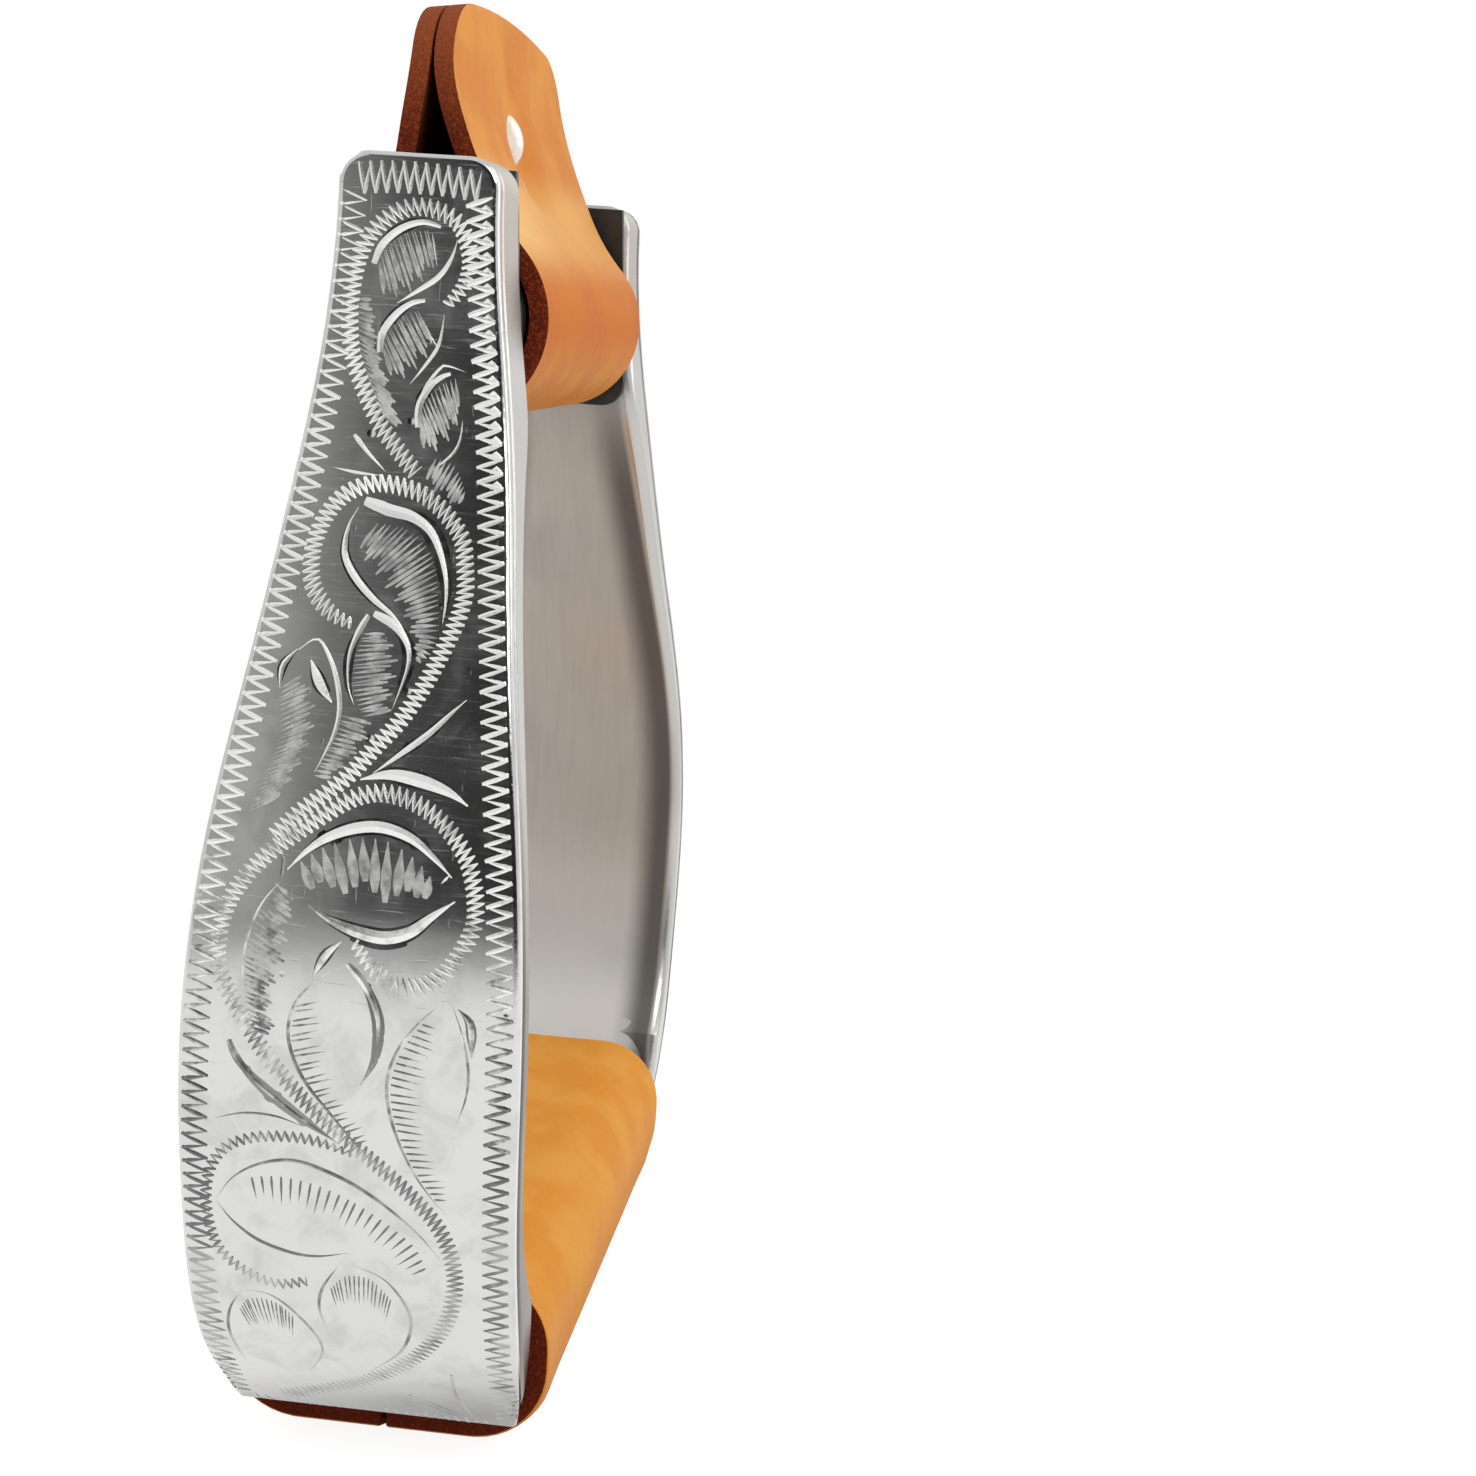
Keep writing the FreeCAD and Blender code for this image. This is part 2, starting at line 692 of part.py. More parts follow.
def arc(centre, radius, start, finish):
    """Arc counter-clockwise between two points."""
    from_angle = math.atan2(start.y - centre.y, start.x - centre.x)
    to_angle = math.atan2(finish.y - centre.y, finish.x - centre.x)
    return Part.ArcOfCircle(Part.Circle(centre, Vector(0, 0, 1), radius), from_angle, to_angle)


def cover_section(sketch):
    """Closed section of the folded strap: loop, bends and two upright plies."""
    bend, leather = size("cover_bend_radius"), size("cover_leather")
    inner_loop, ply = evaluate(COVER_INNER), evaluate(PLY_INNER)
    middle_y = ply + leather + bend
    reach = inner_loop + leather + bend
    middle_z = math.sqrt(reach ** 2 - middle_y ** 2)
    top = size("tab_reach")
    origin = Vector(0, 0, 0)
    for loop, bend_radius, offset in (
            (inner_loop + leather, bend, ply + leather), (inner_loop, bend + leather, ply)):
        left, right = Vector(-middle_y, middle_z, 0), Vector(middle_y, middle_z, 0)
        touch_left = left * (loop / reach)
        touch_right = right * (loop / reach)
        foot_left, foot_right = Vector(-offset, middle_z, 0), Vector(offset, middle_z, 0)
        sketch.addGeometry(Part.LineSegment(Vector(-offset, top, 0), foot_left))
        sketch.addGeometry(arc(left, bend_radius, touch_left, foot_left))
        sketch.addGeometry(arc(origin, loop, touch_left, touch_right))
        sketch.addGeometry(arc(right, bend_radius, foot_right, touch_right))
        sketch.addGeometry(Part.LineSegment(foot_right, Vector(offset, top, 0)))
    sketch.addGeometry(Part.LineSegment(Vector(-ply - leather, top, 0), Vector(-ply, top, 0)))
    sketch.addGeometry(Part.LineSegment(Vector(ply, top, 0), Vector(ply + leather, top, 0)))
    for first in (0, 5):
        tie(sketch, "Tangent", first, 2, first + 1, 2)
        tie(sketch, "Tangent", first + 1, 1, first + 2, 1)
        tie(sketch, "Tangent", first + 2, 2, first + 3, 2)
        tie(sketch, "Tangent", first + 3, 1, first + 4, 1)
        tie(sketch, "Coincident", first + 2, 3, -1, 1)
        tie(sketch, "Vertical", first)
        tie(sketch, "Vertical", first + 4)
    tie(sketch, "Coincident", 10, 1, 0, 1)
    tie(sketch, "Coincident", 10, 2, 5, 1)
    tie(sketch, "Coincident", 11, 1, 9, 2)
    tie(sketch, "Coincident", 11, 2, 4, 2)
    tie(sketch, "Horizontal", 10)
    tie(sketch, "Horizontal", 11)
    tie(sketch, "Radius", 7, to=COVER_INNER)
    tie(sketch, "Radius", 2, to=COVER_OUTER)
    tie(sketch, "Radius", 1, to="cover_bend_radius")
    tie(sketch, "Radius", 3, to="cover_bend_radius")
    tie(sketch, "Radius", 6, to="cover_bend_radius + cover_leather")
    tie(sketch, "Radius", 8, to="cover_bend_radius + cover_leather")
    tie(sketch, "DistanceX", 5, 1, -1, 1, to=PLY_INNER)
    tie(sketch, "DistanceX", -1, 1, 9, 2, to=PLY_INNER)
    tie(sketch, "DistanceX", 0, 1, -1, 1, to=PLY_OUTER)
    tie(sketch, "DistanceX", -1, 1, 4, 2, to=PLY_OUTER)
    tie(sketch, "DistanceY", -1, 1, 0, 1, to="tab_reach")
    tie(sketch, "DistanceY", -1, 1, 4, 2, to="tab_reach")


def tab_trim(sketch):
    """What is cut away outside the tab's rounded outline: a corner arc each side and a crown arc."""
    half, top, over = evaluate(COVER_HALF), size("tab_reach"), size("overrun")
    crown, corner = size("tab_crown_radius"), size("tab_corner_radius")
    crown_centre = Vector(0, top - crown, 0)
    corner_x = half - corner
    corner_y = crown_centre.y + math.sqrt((crown - corner) ** 2 - corner_x ** 2)
    right = Vector(corner_x, corner_y, 0)
    left = Vector(-corner_x, corner_y, 0)
    meet_right = crown_centre + (right - crown_centre) * (crown / (crown - corner))
    meet_left = Vector(-meet_right.x, meet_right.y, 0)
    shoulder_right, shoulder_left = Vector(half, corner_y, 0), Vector(-half, corner_y, 0)
    outside = [Vector(half + over, corner_y, 0), Vector(half + over, top + over, 0),
               Vector(-half - over, top + over, 0), Vector(-half - over, corner_y, 0)]
    sketch.addGeometry(arc(right, corner, shoulder_right, meet_right))
    sketch.addGeometry(arc(crown_centre, crown, meet_right, meet_left))
    sketch.addGeometry(arc(left, corner, meet_left, shoulder_left))
    path = [shoulder_left] + outside[::-1] + [shoulder_right]
    for start, finish in zip(path, path[1:]):
        sketch.addGeometry(Part.LineSegment(start, finish))
    tie(sketch, "Tangent", 0, 2, 1, 1)
    tie(sketch, "Tangent", 1, 2, 2, 1)
    for line in range(2, 7):
        tie(sketch, "Coincident", line, 2, line + 1, 1)
    tie(sketch, "Coincident", 7, 2, 0, 1)
    tie(sketch, "Horizontal", 3)
    tie(sketch, "Vertical", 4)
    tie(sketch, "Horizontal", 5)
    tie(sketch, "Vertical", 6)
    tie(sketch, "Horizontal", 7)
    tie(sketch, "PointOnObject", 1, 3, -2)
    tie(sketch, "Radius", 0, to="tab_corner_radius")
    tie(sketch, "Radius", 2, to="tab_corner_radius")
    tie(sketch, "Radius", 1, to="tab_crown_radius")
    tie(sketch, "DistanceY", 1, 3, -1, 1, to="tab_crown_radius - tab_reach")
    tie(sketch, "DistanceX", -1, 1, 0, 3, to=COVER_HALF + " - tab_corner_radius")
    tie(sketch, "DistanceX", 2, 3, -1, 1, to=COVER_HALF + " - tab_corner_radius")
    tie(sketch, "Horizontal", 0, 1, 0, 3)
    tie(sketch, "Horizontal", 2, 2, 2, 3)
    tie(sketch, "DistanceX", -1, 1, 6, 1, to=COVER_HALF + " + overrun")
    tie(sketch, "DistanceX", 4, 1, -1, 1, to=COVER_HALF + " + overrun")
    tie(sketch, "DistanceY", -1, 1, 5, 1, to="tab_reach + overrun")


def bolt_cover():
    """Folded strap, trimmed to the tab's outline and punched for the rivet."""
    body = doc.addObject("PartDesign::Body", "bolt_cover")
    section = new_sketch(body, "cover_section", "YZ_Plane")
    cover_section(section)
    pad(body, "cover_strap", section, "2 * (%s)" % COVER_HALF, symmetric=True)
    trim = new_sketch(body, "tab_trim", "XZ_Plane")
    tab_trim(trim)
    pocket_through(body, "tab_outline", trim)
    punch = new_sketch(body, "rivet_punch", "XZ_Plane")
    circle(punch, "rivet_post_radius + rivet_fit", "rivet_reach")
    pocket_through(body, "rivet_hole", punch)
    for name, side, outwards in (("front_dimple", "", True), ("back_dimple", "0 - ", False)):
        dimple = new_sketch(body, name + "_outline", "XZ_Plane")
        circle(dimple, "rivet_head_radius + rivet_dimple_clearance", "rivet_reach")
        floor = "%s(%s)" % (side, RIVET_FLOOR)
        dimple.AttachmentOffset = Placement(Vector(0, 0, evaluate(floor)), Rotation())
        dimple.setExpression("AttachmentOffset.Base.z", "(%s) * 1 mm" % named(floor))
        recess = body.newObject("PartDesign::Pocket", name)
        recess.Profile = dimple
        recess.SideType = "One side"
        recess.Reversed = outwards
        recess.setExpression("Length", named("roller_radius"))
    lean_back(body)
    return keep(body, "bolt_cover")


bolt_cover()


# Two-piece rivet through both plies: a cap on the front, a post with its own head on the back.

def rivet_piece(label, side, corners, sizes_along):
    """Body turned about the rivet's axis: a domed head and what the corners add to it."""
    body = doc.addObject("PartDesign::Body", label)
    sketch = new_sketch(body, label + "_section", "YZ_Plane")
    sketch.AttachmentOffset = Placement(Vector(0, size("rivet_reach"), 0), Rotation())
    sketch.setExpression("AttachmentOffset.Base.y", named("rivet_reach") + " * 1 mm")
    head, thick = size("rivet_head_radius"), size("rivet_head_thick")
    dome = (head ** 2 + thick ** 2) / (2 * thick)
    seat = side * evaluate(RIVET_SEAT)
    crown = Vector(seat + side * thick, 0, 0)
    rim = Vector(seat, head, 0)
    centre = Vector(crown.x - side * dome, 0, 0)
    sketch.addGeometry(arc(centre, dome, crown, rim) if side > 0 else arc(centre, dome, rim, crown))
    crown_end, rim_end = (1, 2) if side > 0 else (2, 1)
    path = [crown] + [Vector(x, y, 0) for x, y in corners] + [rim]
    for start, finish in zip(path, path[1:]):
        sketch.addGeometry(Part.LineSegment(start, finish))
    last = len(path) - 1
    tie(sketch, "Coincident", 0, crown_end, 1, 1)
    for line in range(1, last):
        tie(sketch, "Coincident", line, 2, line + 1, 1)
    tie(sketch, "Coincident", last, 2, 0, rim_end)
    tie(sketch, "PointOnObject", 0, crown_end, -1)
    tie(sketch, "PointOnObject", 0, 3, -1)
    tie(sketch, "PointOnObject", 1, 2, -1)
    tie(sketch, "Vertical", 2)
    tie(sketch, "Horizontal", 3)
    tie(sketch, "Vertical", 4)
    tie(sketch, "DistanceY", -1, 1, 0, rim_end, to="rivet_head_radius")
    for geometry, point, reach in sizes_along:
        on_right = sketch.getPoint(geometry, point).x > 0
        ends = (-1, 1, geometry, point) if on_right else (geometry, point, -1, 1)
        tie(sketch, "DistanceX", *ends, to=reach)
    return body, sketch


def turn(body, label, sketch, bore_radius):
    """Bind the post or bore radius and turn the section about the rivet's axis."""
    tie(sketch, "DistanceY", -1, 1, 2, 2, to=bore_radius)
    feature = body.newObject("PartDesign::Revolution", label + "_turned")
    feature.Profile = sketch
    feature.ReferenceAxis = (sketch, ["H_Axis"])
    sketch.Visibility = False
    lean_back(body)
    return keep(body, label)


def rivet():
    """Both pieces of the cover's rivet."""
    seat, post = evaluate(RIVET_SEAT), size("rivet_post_radius")
    bore = seat + size("rivet_cap_bore")
    bore_radius = post + size("rivet_fit")
    head = RIVET_SEAT + " + rivet_head_thick"
    socket = RIVET_SEAT + " + rivet_cap_bore"
    cap, section = rivet_piece(
        "rivet_cap", -1, [(-bore, 0), (-bore, bore_radius), (-seat, bore_radius)],
        [(4, 1, RIVET_SEAT), (0, 2, head), (2, 1, socket)])
    turn(cap, "rivet_cap", section, "rivet_post_radius + rivet_fit")
    tip = bore - size("rivet_fit")
    stem, section = rivet_piece(
        "rivet_post", 1, [(-tip, 0), (-tip, post), (seat, post)],
        [(4, 1, RIVET_SEAT), (0, 1, head), (2, 1, socket + " - rivet_fit")])
    turn(stem, "rivet_post", section, "rivet_post_radius")


rivet()


# Leather sleeve round the tread bar, closed by a sewn seam along the underside.

def stitch_places():
    """Places of the stitches along the tread, even about its middle."""
    pitch = size("stitch_spacing")
    half = end_foot - size("stitch_margin") - size("stitch_spacing")
    count = int(half / pitch)
    return [(number + 0.5) * pitch for number in range(-count, count)]


def stitch_ends(place_along):
    """The two awl holes of one slanted stitch."""
    side = size("stitch_half_length")
    lead = size("stitch_spacing") * STITCH_LEAD_SHARE
    return Vector(place_along - lead, -side, 0), Vector(place_along + lead, side, 0)


def thread(radius, low, high, spot):
    """Upright cylinder at an awl hole."""
    return Part.makeCylinder(radius, high - low, Vector(spot.x, spot.y, low), Vector(0, 0, 1))


def tread_sleeve():
    """Sleeve with the seam's gap, the shallow channel for the stitches and their awl holes."""
    fit, leather = size("tread_fit"), size("tread_leather")
    sleeve = tread_loft(fit + leather).cut(tread_loft(fit))
    sleeve = sleeve.common(between_ends(size("tread_foot_gap"), size("tread_crown_gap")))
    reach = end_crown
    seam = Part.makeBox(2 * reach, size("seam_gap"), 2 * leather,
                        Vector(-reach, -size("seam_gap") / 2, -leather / 2))
    width = size("seam_channel_half_width")
    run = end_foot - size("stitch_margin")
    channel = Part.makeBox(2 * run, 2 * width, size("seam_channel_depth") + overrun,
                           Vector(-run, -width, -overrun))
    tools = [seam, channel]
    hole = size("stitch_radius") + size("stitch_fit")
    for place_along in stitch_places():
        for spot in stitch_ends(place_along):
            tools.append(thread(hole, -leather / 2, size("stitch_depth") + size("stitch_fit"), spot))
    return sleeve.cut(tools)


def stitching():
    """Slanted stitches across the seam, each turned up into its two awl holes."""
    radius, depth = size("stitch_radius"), size("stitch_depth")
    level = size("seam_channel_depth") - size("stitch_fit") - radius
    rise = Vector(0, 0, level)
    stitches = []
    for place_along in stitch_places():
        start, finish = stitch_ends(place_along)
        along = finish - start
        bar = Part.makeCylinder(radius, along.Length, start + rise, along)
        legs = [thread(radius, level - radius, depth, spot) for spot in (start, finish)]
        stitches.append(bar.fuse(legs).removeSplitter())
    return Part.makeCompound(stitches)


keep_shape(tread_sleeve(), "tread_leather")
keep_shape(stitching(), "tread_stitching")

# Nothing is written unless every feature was computed and every sub-part is a sound solid.

doc.recompute()
for item in doc.Objects:
    if "Invalid" in item.State or "Error" in item.State:
        raise RuntimeError("feature %s was not computed" % item.Name)
for feature in subparts:
    if feature.Shape.isNull() or not feature.Shape.Solids or not feature.Shape.isValid():
        raise RuntimeError("sub-part %s is not a sound solid" % feature.Label)

os.makedirs("parts", exist_ok=True)
for feature in subparts:
    feature.Shape.exportStep("parts/%s.step" % feature.Label)
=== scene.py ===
"""Dresses a western stirrup: leather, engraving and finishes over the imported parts.

Sizes are in millimetres in the fields of each class, and every mesh is brought to metres as it is finished.
X runs from the engraved arm (negative) to the plain arm, Y to the back, and Z up from the tread's underside.
"""

import logging
import math
from collections.abc import Callable, Sequence
from dataclasses import dataclass, field, replace
from enum import Enum

import bmesh
import bpy
from mathutils import Matrix, Vector, noise
from mathutils.bvhtree import BVHTree


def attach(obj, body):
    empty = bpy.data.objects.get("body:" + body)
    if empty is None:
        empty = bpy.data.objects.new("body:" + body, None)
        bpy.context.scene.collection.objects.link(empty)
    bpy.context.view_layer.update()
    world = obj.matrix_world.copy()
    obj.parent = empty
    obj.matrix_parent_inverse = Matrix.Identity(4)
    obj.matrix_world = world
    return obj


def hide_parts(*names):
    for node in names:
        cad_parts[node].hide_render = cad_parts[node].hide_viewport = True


MM = 0.001
SHARP = 50.0
ROUND_STEPS = 3
LOG = logging.getLogger("stirrup")
Colour = tuple[float, float, float, float]
Point2 = tuple[float, float]
Place = tuple[float, float, float]
Line = tuple[float, ...]

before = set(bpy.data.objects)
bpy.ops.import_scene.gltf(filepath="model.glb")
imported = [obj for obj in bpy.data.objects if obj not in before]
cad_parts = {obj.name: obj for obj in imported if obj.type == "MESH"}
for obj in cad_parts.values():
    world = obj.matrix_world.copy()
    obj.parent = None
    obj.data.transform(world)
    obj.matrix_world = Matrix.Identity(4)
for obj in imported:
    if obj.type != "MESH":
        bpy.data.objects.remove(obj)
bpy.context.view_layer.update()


def srgb(red: int, green: int, blue: int) -> Colour:
    """Turns screen values of 0 to 255 into the linear colour that a shader takes.

    Args:
        red: red share.
        green: green share.
        blue: blue share.

    Returns:
        The linear colour with full alpha.
    """
    def line(value: int) -> float:
        """Linear value of one channel."""
        share = value / 255.0
        return share / 12.92 if share <= 0.04045 else ((share + 0.055) / 1.055) ** 2.4

    return (line(red), line(green), line(blue), 1.0)


def smooth(value: float, low: float, high: float) -> float:
    """Eases from 0 at low to 1 at high."""
    share = min(1.0, max(0.0, (value - low) / (high - low)))
    return share * share * (3.0 - 2.0 * share)


def hump(value: float, start: float, full: float, fall: float, end: float) -> float:
    """Eases from 0 to 1 between start and full, and back to 0 between fall and end."""
    return smooth(value, start, full) * (1.0 - smooth(value, fall, end))


def between(stations: Sequence[Line], place: float) -> Line:
    """Reads a table whose rows begin with their place.

    Args:
        stations: rows in the order of their places.
        place: where the table is read.

    Returns:
        The rest of the row, drawn straight between the rows on both sides.
    """
    for first, last in zip(stations, stations[1:]):
        if place <= last[0]:
            share = (place - first[0]) / (last[0] - first[0])
            return tuple(a + (b - a) * share for a, b in zip(first[1:], last[1:]))
    return tuple(stations[-1][1:])


# Shader maths


class Value:
    """A socket whose arithmetic adds Math nodes to its tree."""

    def __init__(self, tree: bpy.types.NodeTree, socket: bpy.types.NodeSocket) -> None:
        """Keeps the tree and the socket."""
        self.tree = tree
        self.socket = socket

    def maths(self, operation: str, *terms: "Value | float") -> "Value":
        """Adds one Math node.

        Args:
            operation: the node's operation.
            terms: its inputs, in order.

        Returns:
            The node's result.
        """
        node = self.tree.nodes.new("ShaderNodeMath")
        node.operation = operation
        for slot, term in zip(node.inputs, terms):
            if isinstance(term, Value):
                self.tree.links.new(term.socket, slot)
            else:
                slot.default_value = term
        return Value(self.tree, node.outputs[0])

    def __add__(self, other: "Value | float") -> "Value":
        """Sum."""
        return self.maths("ADD", self, other)

    __radd__ = __add__

    def __sub__(self, other: "Value | float") -> "Value":
        """Difference."""
        return self.maths("SUBTRACT", self, other)

    def __rsub__(self, other: "Value | float") -> "Value":
        """Reflected difference."""
        return self.maths("SUBTRACT", other, self)

    def __mul__(self, other: "Value | float") -> "Value":
        """Product."""
        return self.maths("MULTIPLY", self, other)

    __rmul__ = __mul__

    def clamp(self) -> "Value":
        """Holds the value between 0 and 1."""
        return self.maths("MINIMUM", self.maths("MAXIMUM", self, 0.0), 1.0)

    def size(self) -> "Value":
        """Value without its sign."""
        return self.maths("ABSOLUTE", self)


Plug = Value | float | Sequence[float]


class Tree:
    """A node tree that is written as expressions."""

    def __init__(self, tree: bpy.types.NodeTree) -> None:
        """Empties the tree and keeps it."""
        self.tree = tree
        tree.nodes.clear()

    def node(self, kind: str, settings: dict | None = None, inputs: dict | None = None) -> bpy.types.Node:
        """Adds a node.

        Args:
            kind: the node's type.
            settings: its options, which are set first.
            inputs: values or links of its sockets, by name or number.

        Returns:
            The node.
        """
        made = self.tree.nodes.new(kind)
        for key, setting in (settings or {}).items():
            setattr(made, key, setting)
        for key, plug in (inputs or {}).items():
            if isinstance(plug, Value):
                self.tree.links.new(plug.socket, made.inputs[key])
            else:
                made.inputs[key].default_value = plug
        return made

    def take(self, node: bpy.types.Node, output: str | int = 0) -> Value:
        """Output of a node as a value."""
        return Value(self.tree, node.outputs[output])

    def coords(self, stretch: Sequence[float] = (1.0, 1.0, 1.0)) -> Value:
        """Object coordinates in millimetres, with a factor on each axis."""
        scale = [factor / MM for factor in stretch]
        source = self.take(self.node("ShaderNodeTexCoord"), "Object")
        return self.take(self.node("ShaderNodeMapping", inputs={"Vector": source, "Scale": scale}))

    def split(self, vector: Value | None = None) -> tuple[Value, Value, Value]:
        """Three parts of a vector, which is the object coordinates in millimetres unless another is given."""
        node = self.node("ShaderNodeSeparateXYZ", inputs={0: vector or self.coords()})
        return self.take(node, 0), self.take(node, 1), self.take(node, 2)

    def cloud(self, per_mm: float, detail: float = 3.0, rough: float = 0.55,
              stretch: Sequence[float] = (1.0, 1.0, 1.0), warp: float = 0.0) -> Value:
        """Noise in the object's space.

        Args:
            per_mm: features in a millimetre.
            detail: number of octaves.
            rough: strength of the fine octaves.
            stretch: factor on each axis.
            warp: distortion.

        Returns:
            A value about 0.5.
        """
        inputs = {"Vector": self.coords(stretch), "Scale": per_mm, "Detail": detail, "Roughness": rough,
                  "Distortion": warp}
        return self.take(self.node("ShaderNodeTexNoise", inputs=inputs))

    def cells(self, per_mm: float, stretch: Sequence[float] = (1.0, 1.0, 1.0)) -> Value:
        """Distance to the nearest of scattered points."""
        inputs = {"Vector": self.coords(stretch), "Scale": per_mm}
        return self.take(self.node("ShaderNodeTexVoronoi", inputs=inputs), "Distance")

    def span(self, value: Value, low: float, high: float, start: float = 0.0, end: float = 1.0) -> Value:
        """Eases a value from one span to another.

        Args:
            value: what is mapped.
            low: where the result is start.
            high: where the result is end.
            start: first result.
            end: last result.

        Returns:
            The mapped value.
        """
        inputs = {0: value, 1: low, 2: high, 3: start, 4: end}
        return self.take(self.node("ShaderNodeMapRange", {"interpolation_type": "SMOOTHSTEP"}, inputs))

    def blend(self, share: Plug, first: Plug, second: Plug) -> Value:
        """Mixes two colours."""
        settings = {"data_type": "RGBA", "clamp_factor": True}
        return self.take(self.node("ShaderNodeMix", settings, {0: share, 6: first, 7: second}), 2)

    def bump(self, height: Value, depth: float, under: Value | None = None) -> Value:
        """Relief of a surface.

        Args:
            height: relief, 0 to 1.
            depth: its depth in millimetres.
            under: a relief that it lies on.

        Returns:
            The normal.
        """
        inputs = {"Height": height, "Distance": depth * MM}
        if under is not None:
            inputs["Normal"] = under
        return self.take(self.node("ShaderNodeBump", inputs=inputs))


class Finish:
    """A surface finish: a name and the tree that draws it."""

    name: str

    def surface(self, tree: Tree) -> dict[str, Plug]:
        """Draws the surface; each finish has its own way.

        Args:
            tree: the material's tree.

        Returns:
            What goes into each socket of the surface shader.
        """
        raise NotImplementedError

    def material(self) -> bpy.types.Material:
        """Makes the material once.

        Returns:
            The material, which is the one already made if there is one.
        """
        found = bpy.data.materials.get(self.name)
        if found is not None:
            return found
        made = bpy.data.materials.new(self.name)
        made.use_nodes = True
        tree = Tree(made.node_tree)
        shader = tree.node("ShaderNodeBsdfPrincipled", inputs=self.surface(tree))
        tree.node("ShaderNodeOutputMaterial", inputs={"Surface": tree.take(shader)})
        made.diffuse_color = (0.5, 0.5, 0.5, 1.0)
        return made

    def put_on(self, thing: bpy.types.Object) -> None:
        """Gives a piece this finish alone."""
        thing.data.materials.clear()
        thing.data.materials.append(self.material())


@dataclass(frozen=True)
class CastMetal(Finish):
    """Satin cast aluminium: bright edge strips and brushed, warmer inner faces, with painted reflections and shade."""

    name: str = "cast_aluminium"
    edge: Colour = srgb(190, 188, 184)
    inner: Colour = srgb(188, 186, 180)
    shade: Colour = srgb(86, 83, 79)
    arm_levels: Point2 = (62.0, 148.0)
    arm_half_depths: Point2 = (20.2, 10.4)

    def surface(self, tree: Tree) -> dict[str, Plug]:
        """Sockets of the cast metal."""
        x, y, z = tree.split()
        off = tree.span(z, *self.arm_levels, *self.arm_half_depths) - y.size()
        inside = tree.span(off, 0.7, 2.2)
        brushed = tree.cloud(0.22, 4.0, 0.55, (1.0, 4.0, 0.35))
        soft = tree.cloud(0.05, 3.0, 0.5)
        fine = tree.cloud(6.0, 2.0, 0.6)
        # Painted dark reflection: a dark band along the front rim of the inner faces, below the necks.
        painted_rim_reflection = tree.span(off, 1.0, 2.2) * tree.span(off, 8.6, 3.4) * tree.span(z, 146.0, 116.0)
        inner = tree.blend(tree.span(brushed, 0.35, 0.75) * 0.5 + tree.span(soft, 0.4, 0.7) * 0.4, self.inner,
                           srgb(176, 174, 169))
        # Painted highlight: the inner faces turn lighter towards the bottom.
        inner = tree.blend(tree.span(z, 64.0, 42.0) * 0.7, inner, srgb(226, 226, 223))
        inner = tree.blend(painted_rim_reflection * 0.9, inner, self.shade)
        # Painted dark reflection: the engraved arm's edge strip is darker at mid height, where it mirrors the dark
        # surroundings.
        painted_dark_reflection = tree.span(z, 96.0, 66.0) * tree.span(x, -20.0, -40.0)
        edge = tree.blend(tree.span(soft, 0.4, 0.7) * 0.5, self.edge, srgb(178, 176, 172))
        edge = tree.blend(painted_dark_reflection * 0.85, edge, srgb(92, 84, 76))
        # Painted shade and leather-coloured reflection: the edge strips turn brownish towards the necks, beside the
        # cover.
        edge = tree.blend(tree.span(z, 138.0, 152.0) * 0.5, edge, srgb(150, 128, 102))
        base = tree.blend(inside, edge, inner)
        rough = 0.26 + inside * 0.2 + tree.span(soft, 0.35, 0.7) * 0.1
        relief = tree.bump(brushed * 0.6 + fine * 0.4, 0.02, tree.bump(soft, 0.3))
        return {"Base Color": base, "Metallic": 1.0 - inside * 0.3, "Roughness": rough, "Normal": relief}


@dataclass(frozen=True)
class PlateMetal(Finish):
    """Polished overlay plate, cloudy where it has been handled, with scratches and small dents."""

    name: str = "plate_metal"
    base: Colour = srgb(216, 216, 216)
    dull: Colour = srgb(186, 186, 187)
    polish: float = 0.16
    darkening: float = 0.35
    scratch_depth: float = 0.012
    wave_depth: float = 0.35

    def surface(self, tree: Tree) -> dict[str, Plug]:
        """Sockets of the plate."""
        cloudy = tree.cloud(0.035, 2.0, 0.45)
        bloom = tree.cloud(0.16, 4.0, 0.6, warp=0.5)
        streak = tree.cloud(1.1, 3.0, 0.7, (1.0, 1.0, 0.05), 0.2)
        thin = tree.cloud(3.2, 2.0, 0.5, (1.0, 0.06, 1.0), 0.3)
        dents = tree.span(tree.cells(0.13), 0.0, 0.07)
        _, y, z = tree.split()
        base = tree.blend(tree.span(bloom, 0.42, 0.72) * 0.6, self.base, self.dull)
        # Darker towards the plate's foot.
        base = tree.blend(tree.span(z + y * 0.25 + bloom * 10.0, 22.0, 9.0) * self.darkening, base, srgb(112, 111, 109))
        rough = self.polish + tree.span(bloom, 0.45, 0.75) * 0.07 + tree.span(thin, 0.5, 0.8) * 0.05
        marks = tree.span(streak, 0.66, 0.72) * 0.5 + tree.span(thin, 0.66, 0.72) * 0.5
        relief = tree.bump(1.0 - marks, self.scratch_depth, tree.bump(dents, 0.05, tree.bump(cloudy, self.wave_depth)))
        return {"Base Color": base, "Metallic": 1.0, "Roughness": rough, "Normal": relief}


